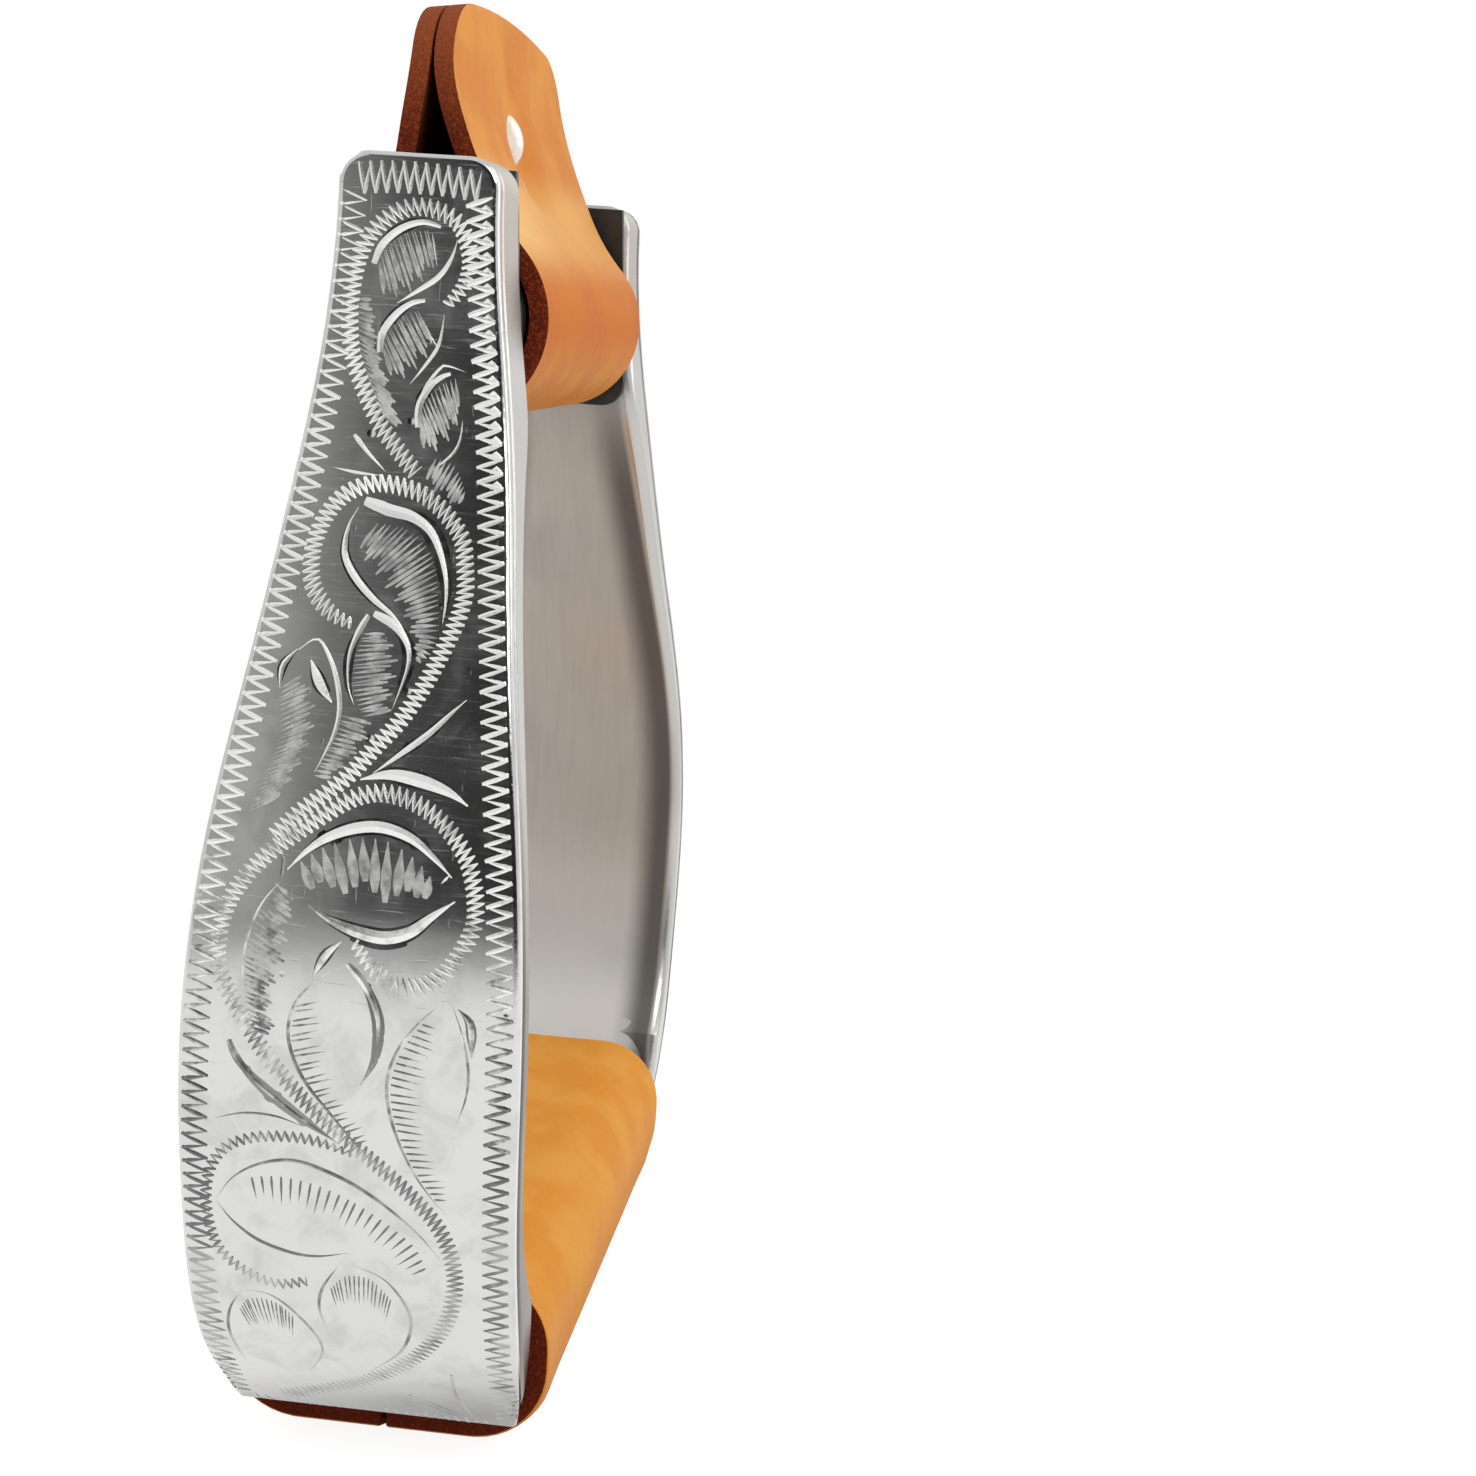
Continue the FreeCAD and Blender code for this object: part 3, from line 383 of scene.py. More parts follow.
@dataclass(frozen=True)
class BrightCut(Finish):
    """Facets left by the graver, brighter than the plate above, darker below as painted shade and reflection."""

    name: str = "graver_cuts"
    bright: Colour = srgb(244, 244, 242)
    painted_low_shade: Colour = srgb(92, 92, 94)

    def surface(self, tree: Tree) -> dict[str, Plug]:
        """Sockets of the cuts."""
        z = tree.split()[2]
        patch = tree.cloud(0.35, 3.0, 0.6)
        # Painted shade and dark reflection: lower on the plate the cuts take a darker tone in patches.
        low = tree.span(z + (patch - 0.5) * 90.0, 84.0, 50.0)
        wear_and_sheen = tree.span(tree.cloud(0.16, 3.0, 0.6) - z * 0.004, 0.5, 0.28)
        painted_low_tone = tree.blend(wear_and_sheen, srgb(176, 176, 175), self.painted_low_shade)
        base = tree.blend(low * 0.9, self.bright, painted_low_tone)
        return {"Base Color": base, "Metallic": 0.8, "Roughness": 0.2 + tree.span(patch, 0.3, 0.7) * 0.14,
                "Normal": tree.bump(tree.cloud(9.0, 2.0), 0.02)}


@dataclass(frozen=True)
class Patchy(Finish):
    """Two tones in soft patches, with a roughness that follows them and a fine relief.

    A noise is given as its features in a millimetre, its octaves and the strength of the fine ones. The roughness is
    its least value, what the patches add, and the tones between which they add it. The painted low tone is a colour
    that stands in for reflection and shade lower on the plate, the levels at which it starts and is full, and its
    unevenness in millimetres.
    """

    name: str
    first: Colour
    second: Colour
    patches: Place
    tones: Point2
    rough: tuple[float, float, float, float]
    relief: Place
    depth: float
    metallic: float = 0.0
    coat: float = 0.0
    painted_low_tone: tuple[Colour, float, float, float] | None = None

    def surface(self, tree: Tree) -> dict[str, Plug]:
        """Sockets of the patchy surface."""
        z = tree.split()[2]
        patch = tree.cloud(*self.patches)
        base = tree.blend(tree.span(patch, *self.tones), self.first, self.second)
        # Painted reflection and shade: the strokes take another tone lower on the plate.
        if self.painted_low_tone:
            colour, tone_start, full, uneven = self.painted_low_tone
            base = tree.blend(tree.span(z + (patch - 0.5) * uneven, tone_start, full) * 0.75, base, colour)
        least, more, low, high = self.rough
        return {"Base Color": base, "Metallic": self.metallic, "Coat Weight": self.coat,
                "Roughness": least + tree.span(patch, low, high) * more,
                "Normal": tree.bump(tree.cloud(*self.relief), self.depth)}


# Painted shade: dark margins round the bold cuts stand in for the shade and dark reflection in their walls, and turn
# pale lower on the plate.
PAINTED_CUT_SHADOW = Patchy("painted_cut_shadow_finish", srgb(24, 24, 25), srgb(70, 70, 71), (0.5, 3.0, 0.6), (0.35, 0.7),
                   (0.4, 0.15, 0.3, 0.7), (0.5, 3.0, 0.6), 0.03, metallic=0.6,
                   painted_low_tone=(srgb(172, 172, 171), 78.0, 56.0, 0.0))
# The leaf strokes take a darker tone lower on the plate as painted dark reflection.
SHADING = Patchy("shading_strokes", srgb(158, 158, 158), srgb(206, 206, 204), (0.6, 3.0, 0.6), (0.35, 0.65),
                 (0.42, 0.12, 0.3, 0.7), (7.0, 3.0, 0.55), 0.05, metallic=0.7,
                 painted_low_tone=(srgb(104, 104, 106), 76.0, 54.0, 80.0))
SEAM = Patchy("seam_grime", srgb(26, 24, 23), srgb(66, 60, 54), (0.8, 4.0, 0.65), (0.4, 0.7), (0.6, 0.25, 0.4, 0.7),
              (0.8, 4.0, 0.65), 0.15)
PLATED_STEEL = Patchy("plated_steel", srgb(192, 194, 198), srgb(158, 156, 150), (0.4, 3.0, 0.55), (0.35, 0.7),
                      (0.3, 0.15, 0.3, 0.7), (3.0, 3.0, 0.55), 0.03, metallic=1.0)
ENAMEL = Patchy("ivory_enamel", srgb(238, 234, 226), srgb(222, 213, 198), (0.5, 3.0, 0.55), (0.35, 0.7),
                (0.18, 0.12, 0.4, 0.7), (3.0, 3.0, 0.55), 0.01, coat=0.4)


@dataclass(frozen=True)
class BlackPlastic(Finish):
    """Black liner or roller: matt, finely scratched, dusty in patches."""

    name: str = "black_liner"
    base: Colour = srgb(38, 37, 37)
    dust: Colour = srgb(74, 72, 69)
    rough: float = 0.42

    def surface(self, tree: Tree) -> dict[str, Plug]:
        """Sockets of the plastic."""
        patch = tree.cloud(0.12, 4.0, 0.6)
        thin = tree.cloud(2.2, 3.0, 0.6, (1.0, 0.1, 1.0), 0.5)
        scratch = tree.span(thin, 0.6, 0.72)
        base = tree.blend(tree.span(patch, 0.45, 0.75) * 0.5 + scratch * 0.3, self.base, self.dust)
        return {"Base Color": base, "Roughness": self.rough + tree.span(patch, 0.4, 0.7) * 0.16,
                "Normal": tree.bump(1.0 - scratch, 0.02, tree.bump(tree.cloud(5.0), 0.015))}


@dataclass(frozen=True)
class Leather(Finish):
    """Oiled harness leather: smooth grain side with faint mottling, pores and scuffs, painted shade and highlight."""

    name: str = "cover_grain_side"
    tan: Colour = srgb(210, 130, 54)
    pale: Colour = srgb(221, 149, 72)
    deep: Colour = srgb(190, 84, 10)
    # Levels of the painted shade on the lower part, of the painted highlight band, and how far the very bottom stays
    # clear of the painted shade.
    low: float = 134.0
    high: float = 168.0
    wear_and_sheen: float = 157.5
    fade: float = 11.0

    def surface(self, tree: Tree) -> dict[str, Plug]:
        """Sockets of the leather."""
        x, _, z = tree.split()
        mottle = tree.cloud(0.08, 3.0, 0.5, warp=0.1)
        fibre = tree.cloud(0.8, 4.0, 0.65)
        pores = tree.cells(2.4)
        wrinkle = tree.cells(0.75, (1.0, 1.0, 0.7))
        height = tree.span(z, self.low, self.high)
        base = tree.blend(tree.span(mottle, 0.38, 0.66), self.tan, self.pale)
        # Painted shade: a deeper tone towards the lower part, fading out again at the very bottom as a painted
        # reflection of the floor.
        low = (1.0 - height) * tree.span(z, self.low + self.fade - 9.0, self.low + self.fade)
        base = tree.blend(low * 0.72, base, self.deep)
        # Painted highlight: a pale band where the strap bends, stronger towards the engraved arm.
        painted_highlight_band = tree.span(z, self.wear_and_sheen - 9.0, self.wear_and_sheen - 2.0) * tree.span(z, self.wear_and_sheen + 9.0, self.wear_and_sheen + 1.0)
        base = tree.blend(painted_highlight_band * (0.5 + tree.span(x, 0.0, -34.0) * 0.4), base, srgb(242, 194, 124))
        base = tree.blend(tree.span(fibre, 0.52, 0.8) * 0.15, base, self.deep)
        base = tree.blend(tree.span(pores, 0.16, 0.02) * 0.3, base, srgb(150, 78, 34))
        rough = 0.44 + tree.span(mottle, 0.4, 0.7) * 0.12 + tree.span(fibre, 0.5, 0.75) * 0.08
        fine = tree.bump(tree.span(pores, 0.0, 0.22), 0.03, tree.bump(wrinkle, 0.05))
        return {"Base Color": base, "Roughness": rough, "Specular IOR Level": 0.02,
                "Normal": tree.bump(mottle * 0.5 + fibre * 0.5, 0.12, fine)}


@dataclass(frozen=True)
class CutEdge(Finish):
    """Cut edge of the leather, stained dark red-brown and fibrous, with a painted highlight towards the tab's top."""

    name: str = "leather_cut_edge"
    dark: Colour = srgb(112, 38, 18)
    light: Colour = srgb(176, 78, 38)

    def surface(self, tree: Tree) -> dict[str, Plug]:
        """Sockets of the cut edge."""
        z = tree.split()[2]
        fibre = tree.cloud(2.2, 5.0, 0.7)
        nap = tree.cells(3.2)
        base = tree.blend(tree.span(fibre, 0.4, 0.68), self.dark, self.light)
        # Painted highlight: the edge is paler towards the tab's top, where the light falls on it.
        base = tree.blend(tree.span(z, 162.0, 184.0) * 0.6, base, srgb(206, 112, 62))
        base = tree.blend(tree.span(nap, 0.1, 0.5) * 0.35, base, srgb(60, 18, 8))
        return {"Base Color": base, "Roughness": 0.78 + tree.span(fibre, 0.4, 0.7) * 0.15, "Specular IOR Level": 0.1,
                "Normal": tree.bump(fibre * 0.6 + nap * 0.4, 0.35)}


@dataclass(frozen=True)
class WaxedThread(Finish):
    """Waxed lacing thread of the tread seam."""

    name: str = "waxed_thread"

    def surface(self, tree: Tree) -> dict[str, Plug]:
        """Sockets of the thread."""
        x, y, z = tree.split()
        run = x * 5.0 + y * 4.0 + z * 2.0
        twist = run.maths("SINE", run)
        base = tree.blend(tree.span(twist, -0.8, 0.6), srgb(126, 92, 56), srgb(222, 200, 160))
        return {"Base Color": base, "Roughness": 0.55 + tree.cloud(2.0) * 0.2, "Normal": tree.bump(twist, 0.1)}


# Mesh helpers


def add_object(name: str, data: bpy.types.ID) -> bpy.types.Object:
    """Puts a new object with this data into the scene."""
    made = bpy.data.objects.new(name, data)
    bpy.context.scene.collection.objects.link(made)
    return made


def add_mesh(name: str, shape: bmesh.types.BMesh) -> bpy.types.Object:
    """Turns a bmesh in millimetres into an object in metres, and frees it."""
    bmesh.ops.scale(shape, vec=(MM, MM, MM), verts=shape.verts)
    mesh = bpy.data.meshes.new(name)
    shape.to_mesh(mesh)
    shape.free()
    return add_object(name, mesh)


def new_piece(name: str, shape: bmesh.types.BMesh, finishes: Sequence[Finish], body: str,
              flat: bool = False) -> bpy.types.Object:
    """Turns a bmesh in millimetres into a piece that rides on a body.

    Args:
        name: the piece's name.
        shape: its bmesh, which is freed.
        finishes: finishes by material index.
        body: body that carries it.
        flat: keeps its faces flat shaded.

    Returns:
        The piece.
    """
    piece = add_mesh(name, shape)
    mesh = piece.data
    for finish in finishes:
        mesh.materials.append(finish.material())
    mesh.polygons.foreach_set("use_smooth", [not flat] * len(mesh.polygons))
    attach(piece, body)
    LOG.info("%s: %d faces on %s", name, len(mesh.polygons), body)
    return piece


def soften(piece: bpy.types.Object, width: float) -> None:
    """Rounds the edges of a piece that are sharper than SHARP to a width in millimetres."""
    bevel = piece.modifiers.new("edge_round", "BEVEL")
    bevel.width = width * MM
    bevel.segments = ROUND_STEPS
    bevel.limit_method = "ANGLE"
    bevel.angle_limit = math.radians(SHARP)


def shell(shape: bmesh.types.BMesh, across: int, along: int, outer: Callable[[float, float], Vector],
          inner: Callable[[float, float], Vector]) -> None:
    """Builds a closed shell from two grids: the outer wall has material 0, the cut edge 1 and the inner wall 2.

    Args:
        shape: bmesh that takes the shell.
        across: segments of the first parameter.
        along: segments of the second parameter.
        outer: gives the outer point for two parameters of -1 to 1.
        inner: gives the inner point for the same.
    """
    rims = []
    for wall, flip in ((outer, False), (inner, True)):
        made = bmesh.ops.create_grid(shape, x_segments=across, y_segments=along, size=1.0)["verts"]
        for vertex in made:
            vertex.co = wall(vertex.co.x, vertex.co.y)
        faces = {face for vertex in made for face in vertex.link_faces}
        if flip:
            bmesh.ops.reverse_faces(shape, faces=list(faces))
            for face in faces:
                face.material_index = 2
        rims += [edge for edge in {edge for face in faces for edge in face.edges} if edge.is_boundary]
    for face in bmesh.ops.bridge_loops(shape, edges=rims)["faces"]:
        face.material_index = 1
    bmesh.ops.recalc_face_normals(shape, faces=shape.faces)


# Leather


@dataclass
class BoltCover:
    """Leather strap folded round the roller; its two plies stand up as a rounded tab and lean back."""

    axis_height: float = 144.2
    lean: float = 7.0
    loop_radius: float = 11.45
    bend_radius: float = 45.35
    ply_middle: float = 1.36
    reach: float = 40.0
    half_width: float = 36.5
    crown_radius: float = 240.0
    near_corner: float = 17.0
    far_corner: float = 11.0
    half_wall: float = 1.21
    rivet_level: float = 24.0
    seat_face: float = 2.17
    seat_radius: float = 3.7
    seat_blend: float = 6.0
    spring: float = 0.5
    spring_reach: Point2 = (8.0, 34.0)
    spring_levels: tuple[float, float, float, float] = (9.0, 19.0, 21.0, 33.0)
    ripple: float = 0.16
    free_from: float = 8.0
    crease: float = 0.45
    crease_width: float = 1.2
    crease_levels: tuple[float, float, float, float] = (27.5, 29.5, 30.5, 37.0)
    grid: tuple[int, int] = (44, 150)
    edge_round: float = 0.75

    def centre(self) -> Point2:
        """Centre of the bend, across and up."""
        across = self.ply_middle + self.bend_radius
        return across, math.sqrt((self.loop_radius + self.bend_radius) ** 2 - across ** 2)

    def lengths(self) -> Point2:
        """Lengths of half the loop and of one bend."""
        across, up = self.centre()
        turn = math.atan2(up, across)
        return self.loop_radius * (math.pi / 2 + turn), self.bend_radius * turn

    def tab_top(self, x: float) -> float:
        """Outline of the tab.

        Args:
            x: place along the bolt.

        Returns:
            Height of the outline above the bolt.
        """
        corner = self.near_corner if x < 0 else self.far_corner
        low = self.reach - self.crown_radius
        inset = self.half_width - corner
        arm = self.crown_radius - corner
        level = low + math.sqrt(arm ** 2 - inset ** 2)
        x = min(abs(x), self.half_width)
        if x <= self.crown_radius * inset / arm:
            return low + math.sqrt(self.crown_radius ** 2 - x ** 2)
        return level + math.sqrt(max(0.0, corner ** 2 - (x - inset) ** 2))

    def end(self, x: float) -> float:
        """Where the strap ends.

        Args:
            x: place along the bolt.

        Returns:
            Length from the loop's bottom to the tab's outline.
        """
        loop, bend = self.lengths()
        up = self.centre()[1]
        top = self.tab_top(x)
        if top >= up:
            return loop + bend + top - up
        return loop + bend - self.bend_radius * math.asin((up - top) / self.bend_radius)

    def section(self, length: float) -> tuple[float, float, float, float]:
        """Middle line of the strap.

        Args:
            length: distance from the loop's bottom, with the side's sign.

        Returns:
            Place across and up, and the outward direction across and up.
        """
        side = -1.0 if length < 0 else 1.0
        length = abs(length)
        loop, bend = self.lengths()
        across, up = self.centre()
        turn = math.atan2(up, across)
        if length <= loop:
            angle = length / self.loop_radius - math.pi / 2
            y, v = self.loop_radius * math.cos(angle), self.loop_radius * math.sin(angle)
            ny, nv = math.cos(angle), math.sin(angle)
        elif length <= loop + bend:
            angle = math.pi + turn - (length - loop) / self.bend_radius
            y, v = across + self.bend_radius * math.cos(angle), up + self.bend_radius * math.sin(angle)
            ny, nv = -math.cos(angle), -math.sin(angle)
        else:
            y, v, ny, nv = self.ply_middle, up + length - loop - bend, 1.0, 0.0
        return side * y, v, side * ny, nv

    def sculpt(self, x: float, y: float, v: float, wall: float) -> float:
        """Unevenness of the hide, the dip that the rivet pulls in and the spring of the free edges.

        Args:
            x: place along the bolt.
            y: place across.
            v: height above the bolt.
            wall: distance from the middle line, which says which wall moves.

        Returns:
            How far the strap moves outwards.
        """
        ripple = self.ripple * noise.noise(Vector((x * 0.05, v * 0.06, y * 0.04)))
        if v < self.free_from:
            return ripple
        off = math.hypot(x, (v - self.rivet_level) * 0.8)
        dip = abs(y) + wall - (self.seat_face if wall > 0 else 0.15)
        share = 1.0 - smooth(off, self.seat_radius, self.seat_radius + self.seat_blend)
        fold = 0.0
        if y < 0 and wall > 0:
            fold = self.crease * math.exp(-((x + 0.6) / self.crease_width) ** 2) * hump(v, *self.crease_levels)
        apart = self.spring * smooth(abs(x), *self.spring_reach) * hump(v, *self.spring_levels)
        return ripple * (1.0 - share) - dip * share - fold + apart

    def place(self, x_share: float, length_share: float, wall: float) -> Vector:
        """Point of one wall.

        Args:
            x_share: -1 to 1 across the strap.
            length_share: -1 to 1 along the strap.
            wall: distance from the middle line.

        Returns:
            The point in the row frame.
        """
        x = self.half_width * math.sin(x_share * math.pi / 2)
        y, v, ny, nv = self.section(length_share * self.end(x))
        move = wall + self.sculpt(x, y, v, wall)
        y, v = y + ny * move, v + nv * move
        lean = math.radians(self.lean)
        return Vector((x, y * math.cos(lean) + v * math.sin(lean),
                       self.axis_height - y * math.sin(lean) + v * math.cos(lean)))

    def build(self) -> None:
        """Builds the cover in place of its plain solid."""
        shape = bmesh.new()
        shell(shape, *self.grid, lambda a, b: self.place(a, b, self.half_wall),
              lambda a, b: self.place(a, b, -self.half_wall))
        finishes = [Leather(), CutEdge(), CutEdge("leather_flesh_side", srgb(34, 12, 6), srgb(78, 34, 16))]
        piece = new_piece("cover_strap", shape, finishes, "cover")
        soften(piece, self.edge_round)
        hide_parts("bolt_cover")


@dataclass
class TreadSleeve:
    """Leather sleeve round the tread bar, open in a narrow seam along its underside."""

    stations: tuple[tuple[float, float, float, float, float], ...] = (
        (0.0, 3.2, 21.6, 17.6, 6.5), (32.29, 3.2, 21.6, 17.6, 6.5), (37.08, 3.3, 21.5, 17.7, 6.56),
        (41.86, 3.67, 21.34, 17.94, 6.71), (46.64, 5.59, 22.05, 18.21, 6.88), (51.43, 11.71, 24.24, 18.36, 5.64),
        (59.8, 22.48, 34.27, 18.4, 5.31))
    legs: tuple[float, ...] = (0.28, 0.16, 0.12, 0.16, 0.28)
    wall: float = 3.2
    slack: float = 0.05
    seam_half: float = 0.3
    channel_half: float = 2.6
    channel_depth: float = 0.9
    channel_ends: Point2 = (36.0, 40.0)
    wear_and_sheen: float = 0.14
    worn_from: float = 15.0
    grid: tuple[int, int] = (72, 132)
    foot: Point2 = (46.5, 3.2)
    crown: Point2 = (48.7, 30.8)
    edge_round: float = 0.5

    def size_at(self, reach: float) -> Line:
        """Bottom, top, half depth and corner of the bar at a distance from the middle of the tread."""
        return between(self.stations, abs(reach))

    def ring(self, turn: float, reach: float, wall: float) -> Point2:
        """Point of the section.

        Args:
            turn: -1 to 1 round the bar, from the seam's back edge over the top to its front edge.
            reach: distance from the middle of the tread.
            wall: distance from the bar.

        Returns:
            Place across and up.
        """
        bottom, top, depth, corner = self.size_at(reach)
        side = -1.0 if turn > 0 else 1.0
        share = abs(turn)
        bottom, top, depth, corner = bottom - wall, top + wall, depth + wall, corner + wall
        for number, leg in enumerate(self.legs):
            if share <= leg or number == len(self.legs) - 1:
                break
            share -= leg
        part = min(1.0, share / leg)
        bend = part * math.pi / 2
        if number == 0:
            y, z = (depth - corner) * part, top
        elif number == 1:
            y, z = depth - corner + corner * math.sin(bend), top - corner + corner * math.cos(bend)
        elif number == 2:
            y, z = depth, top - corner + (bottom + 2 * corner - top) * part
        elif number == 3:
            y, z = depth - corner + corner * math.cos(bend), bottom + corner - corner * math.sin(bend)
        else:
            y, z = (depth - corner) + (self.seam_half - depth + corner) * part, bottom
        return side * y, z

    def end(self, turn: float, wall: float) -> float:
        """Where a line of the sleeve meets the slanted cut.

        Args:
            turn: -1 to 1 round the bar.
            wall: distance from the bar.

        Returns:
            Its distance from the middle of the tread.
        """
        reach = self.foot[0]
        slope = (self.crown[0] - self.foot[0]) / (self.crown[1] - self.foot[1])
        for _ in range(12):
            z = self.ring(turn, reach, wall)[1]
            reach += 0.6 * (self.foot[0] + (z - self.foot[1]) * slope - reach)
        return reach

    def place(self, along: float, turn: float, wall: float) -> Vector:
        """Point of one wall.

        Args:
            along: -1 to 1 along the tread.
            turn: -1 to 1 round the bar.
            wall: distance from the bar.

        Returns:
            The point in the row frame.
        """
        reach = self.end(turn, wall) * along
        y, z = self.ring(turn, reach, wall)
        if wall == self.wall:
            near = 1.0 - smooth(abs(y), self.channel_half - 0.5, self.channel_half)
            if z < self.size_at(reach)[0]:
                z += self.channel_depth * near * (1.0 - smooth(abs(reach), *self.channel_ends))
            wear_and_sheen = self.wear_and_sheen * noise.noise(Vector((reach * 0.05, y * 0.09, z * 0.09)))
            z += min(0.0, wear_and_sheen - 0.08) if z > self.worn_from else 0.0
        return Vector((reach, y, z))

    def build(self) -> None:
        """Builds the sleeve in place of its plain solid."""
        shape = bmesh.new()
        shell(shape, *self.grid, lambda a, b: self.place(a, b, self.wall), lambda a, b: self.place(a, b, self.slack))
        # The sleeve's deeper tone low down is painted shade, and its painted highlight band is set out of reach.
        finishes = [Leather("tread_grain_side", srgb(222, 146, 56), srgb(228, 160, 74), srgb(198, 106, 34),
                            low=2.0, high=17.0, wear_and_sheen=-40.0, fade=6.0),
                    CutEdge("tread_cut_edge", srgb(102, 32, 14), srgb(148, 56, 26)),
                    CutEdge("tread_flesh_side", srgb(60, 24, 12), srgb(110, 56, 28))]
        piece = new_piece("tread_sleeve", shape, finishes, "stirrup")
        soften(piece, self.edge_round)
        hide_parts("tread_leather")


# Engraving


class Taper(Enum):
    """How a cut's width runs from its start to its end."""

    WEDGE = "wedge"
    LENS = "lens"
    THORN = "thorn"
    BLADE = "blade"

    def share(self, place: float) -> float:
        """Runs the width along the cut.

        Args:
            place: 0 at the start, 1 at the end.

        Returns:
            Share of the full width.
        """
        if self is Taper.WEDGE:
            return 0.35 + 0.65 * math.sin(math.pi * min(1.0, place * 0.75 + 0.2))
        if self is Taper.LENS:
            return math.sin(math.pi * min(0.97, max(0.03, place))) ** 0.8
        if self is Taper.BLADE:
            return 0.16 + 0.84 * smooth(place, 0.02, 0.5) * (1.0 - 0.55 * smooth(place, 0.82, 1.0))
        return (1.0 - place) ** 0.7 * smooth(place, -0.2, 0.15) + 0.05


def pairs(line: Line) -> list[Point2]:
    """Points of a line that is written as across, up, across, up on the plate."""
    return list(zip(line[::2], line[1::2]))


@dataclass(frozen=True)
class Cut:
    """One bold cut of the graver."""

    line: Line
    width: float
    taper: Taper = Taper.LENS


@dataclass(frozen=True)
class Rope:
    """A stem that is cut as a row of short strokes between two lines."""

    line: Line
    width: float = 2.05
    step: float = 0.86
    slant: float = 0.4
    widths: Point2 = (0.54, 0.28)


@dataclass(frozen=True)
class Fan:
    """Shading strokes of a leaf, from one of its edges towards the other."""

    start: Line
    end: Line
    count: int
    reach: float = 0.8
    width: float = 0.34
    taper: Taper = Taper.BLADE


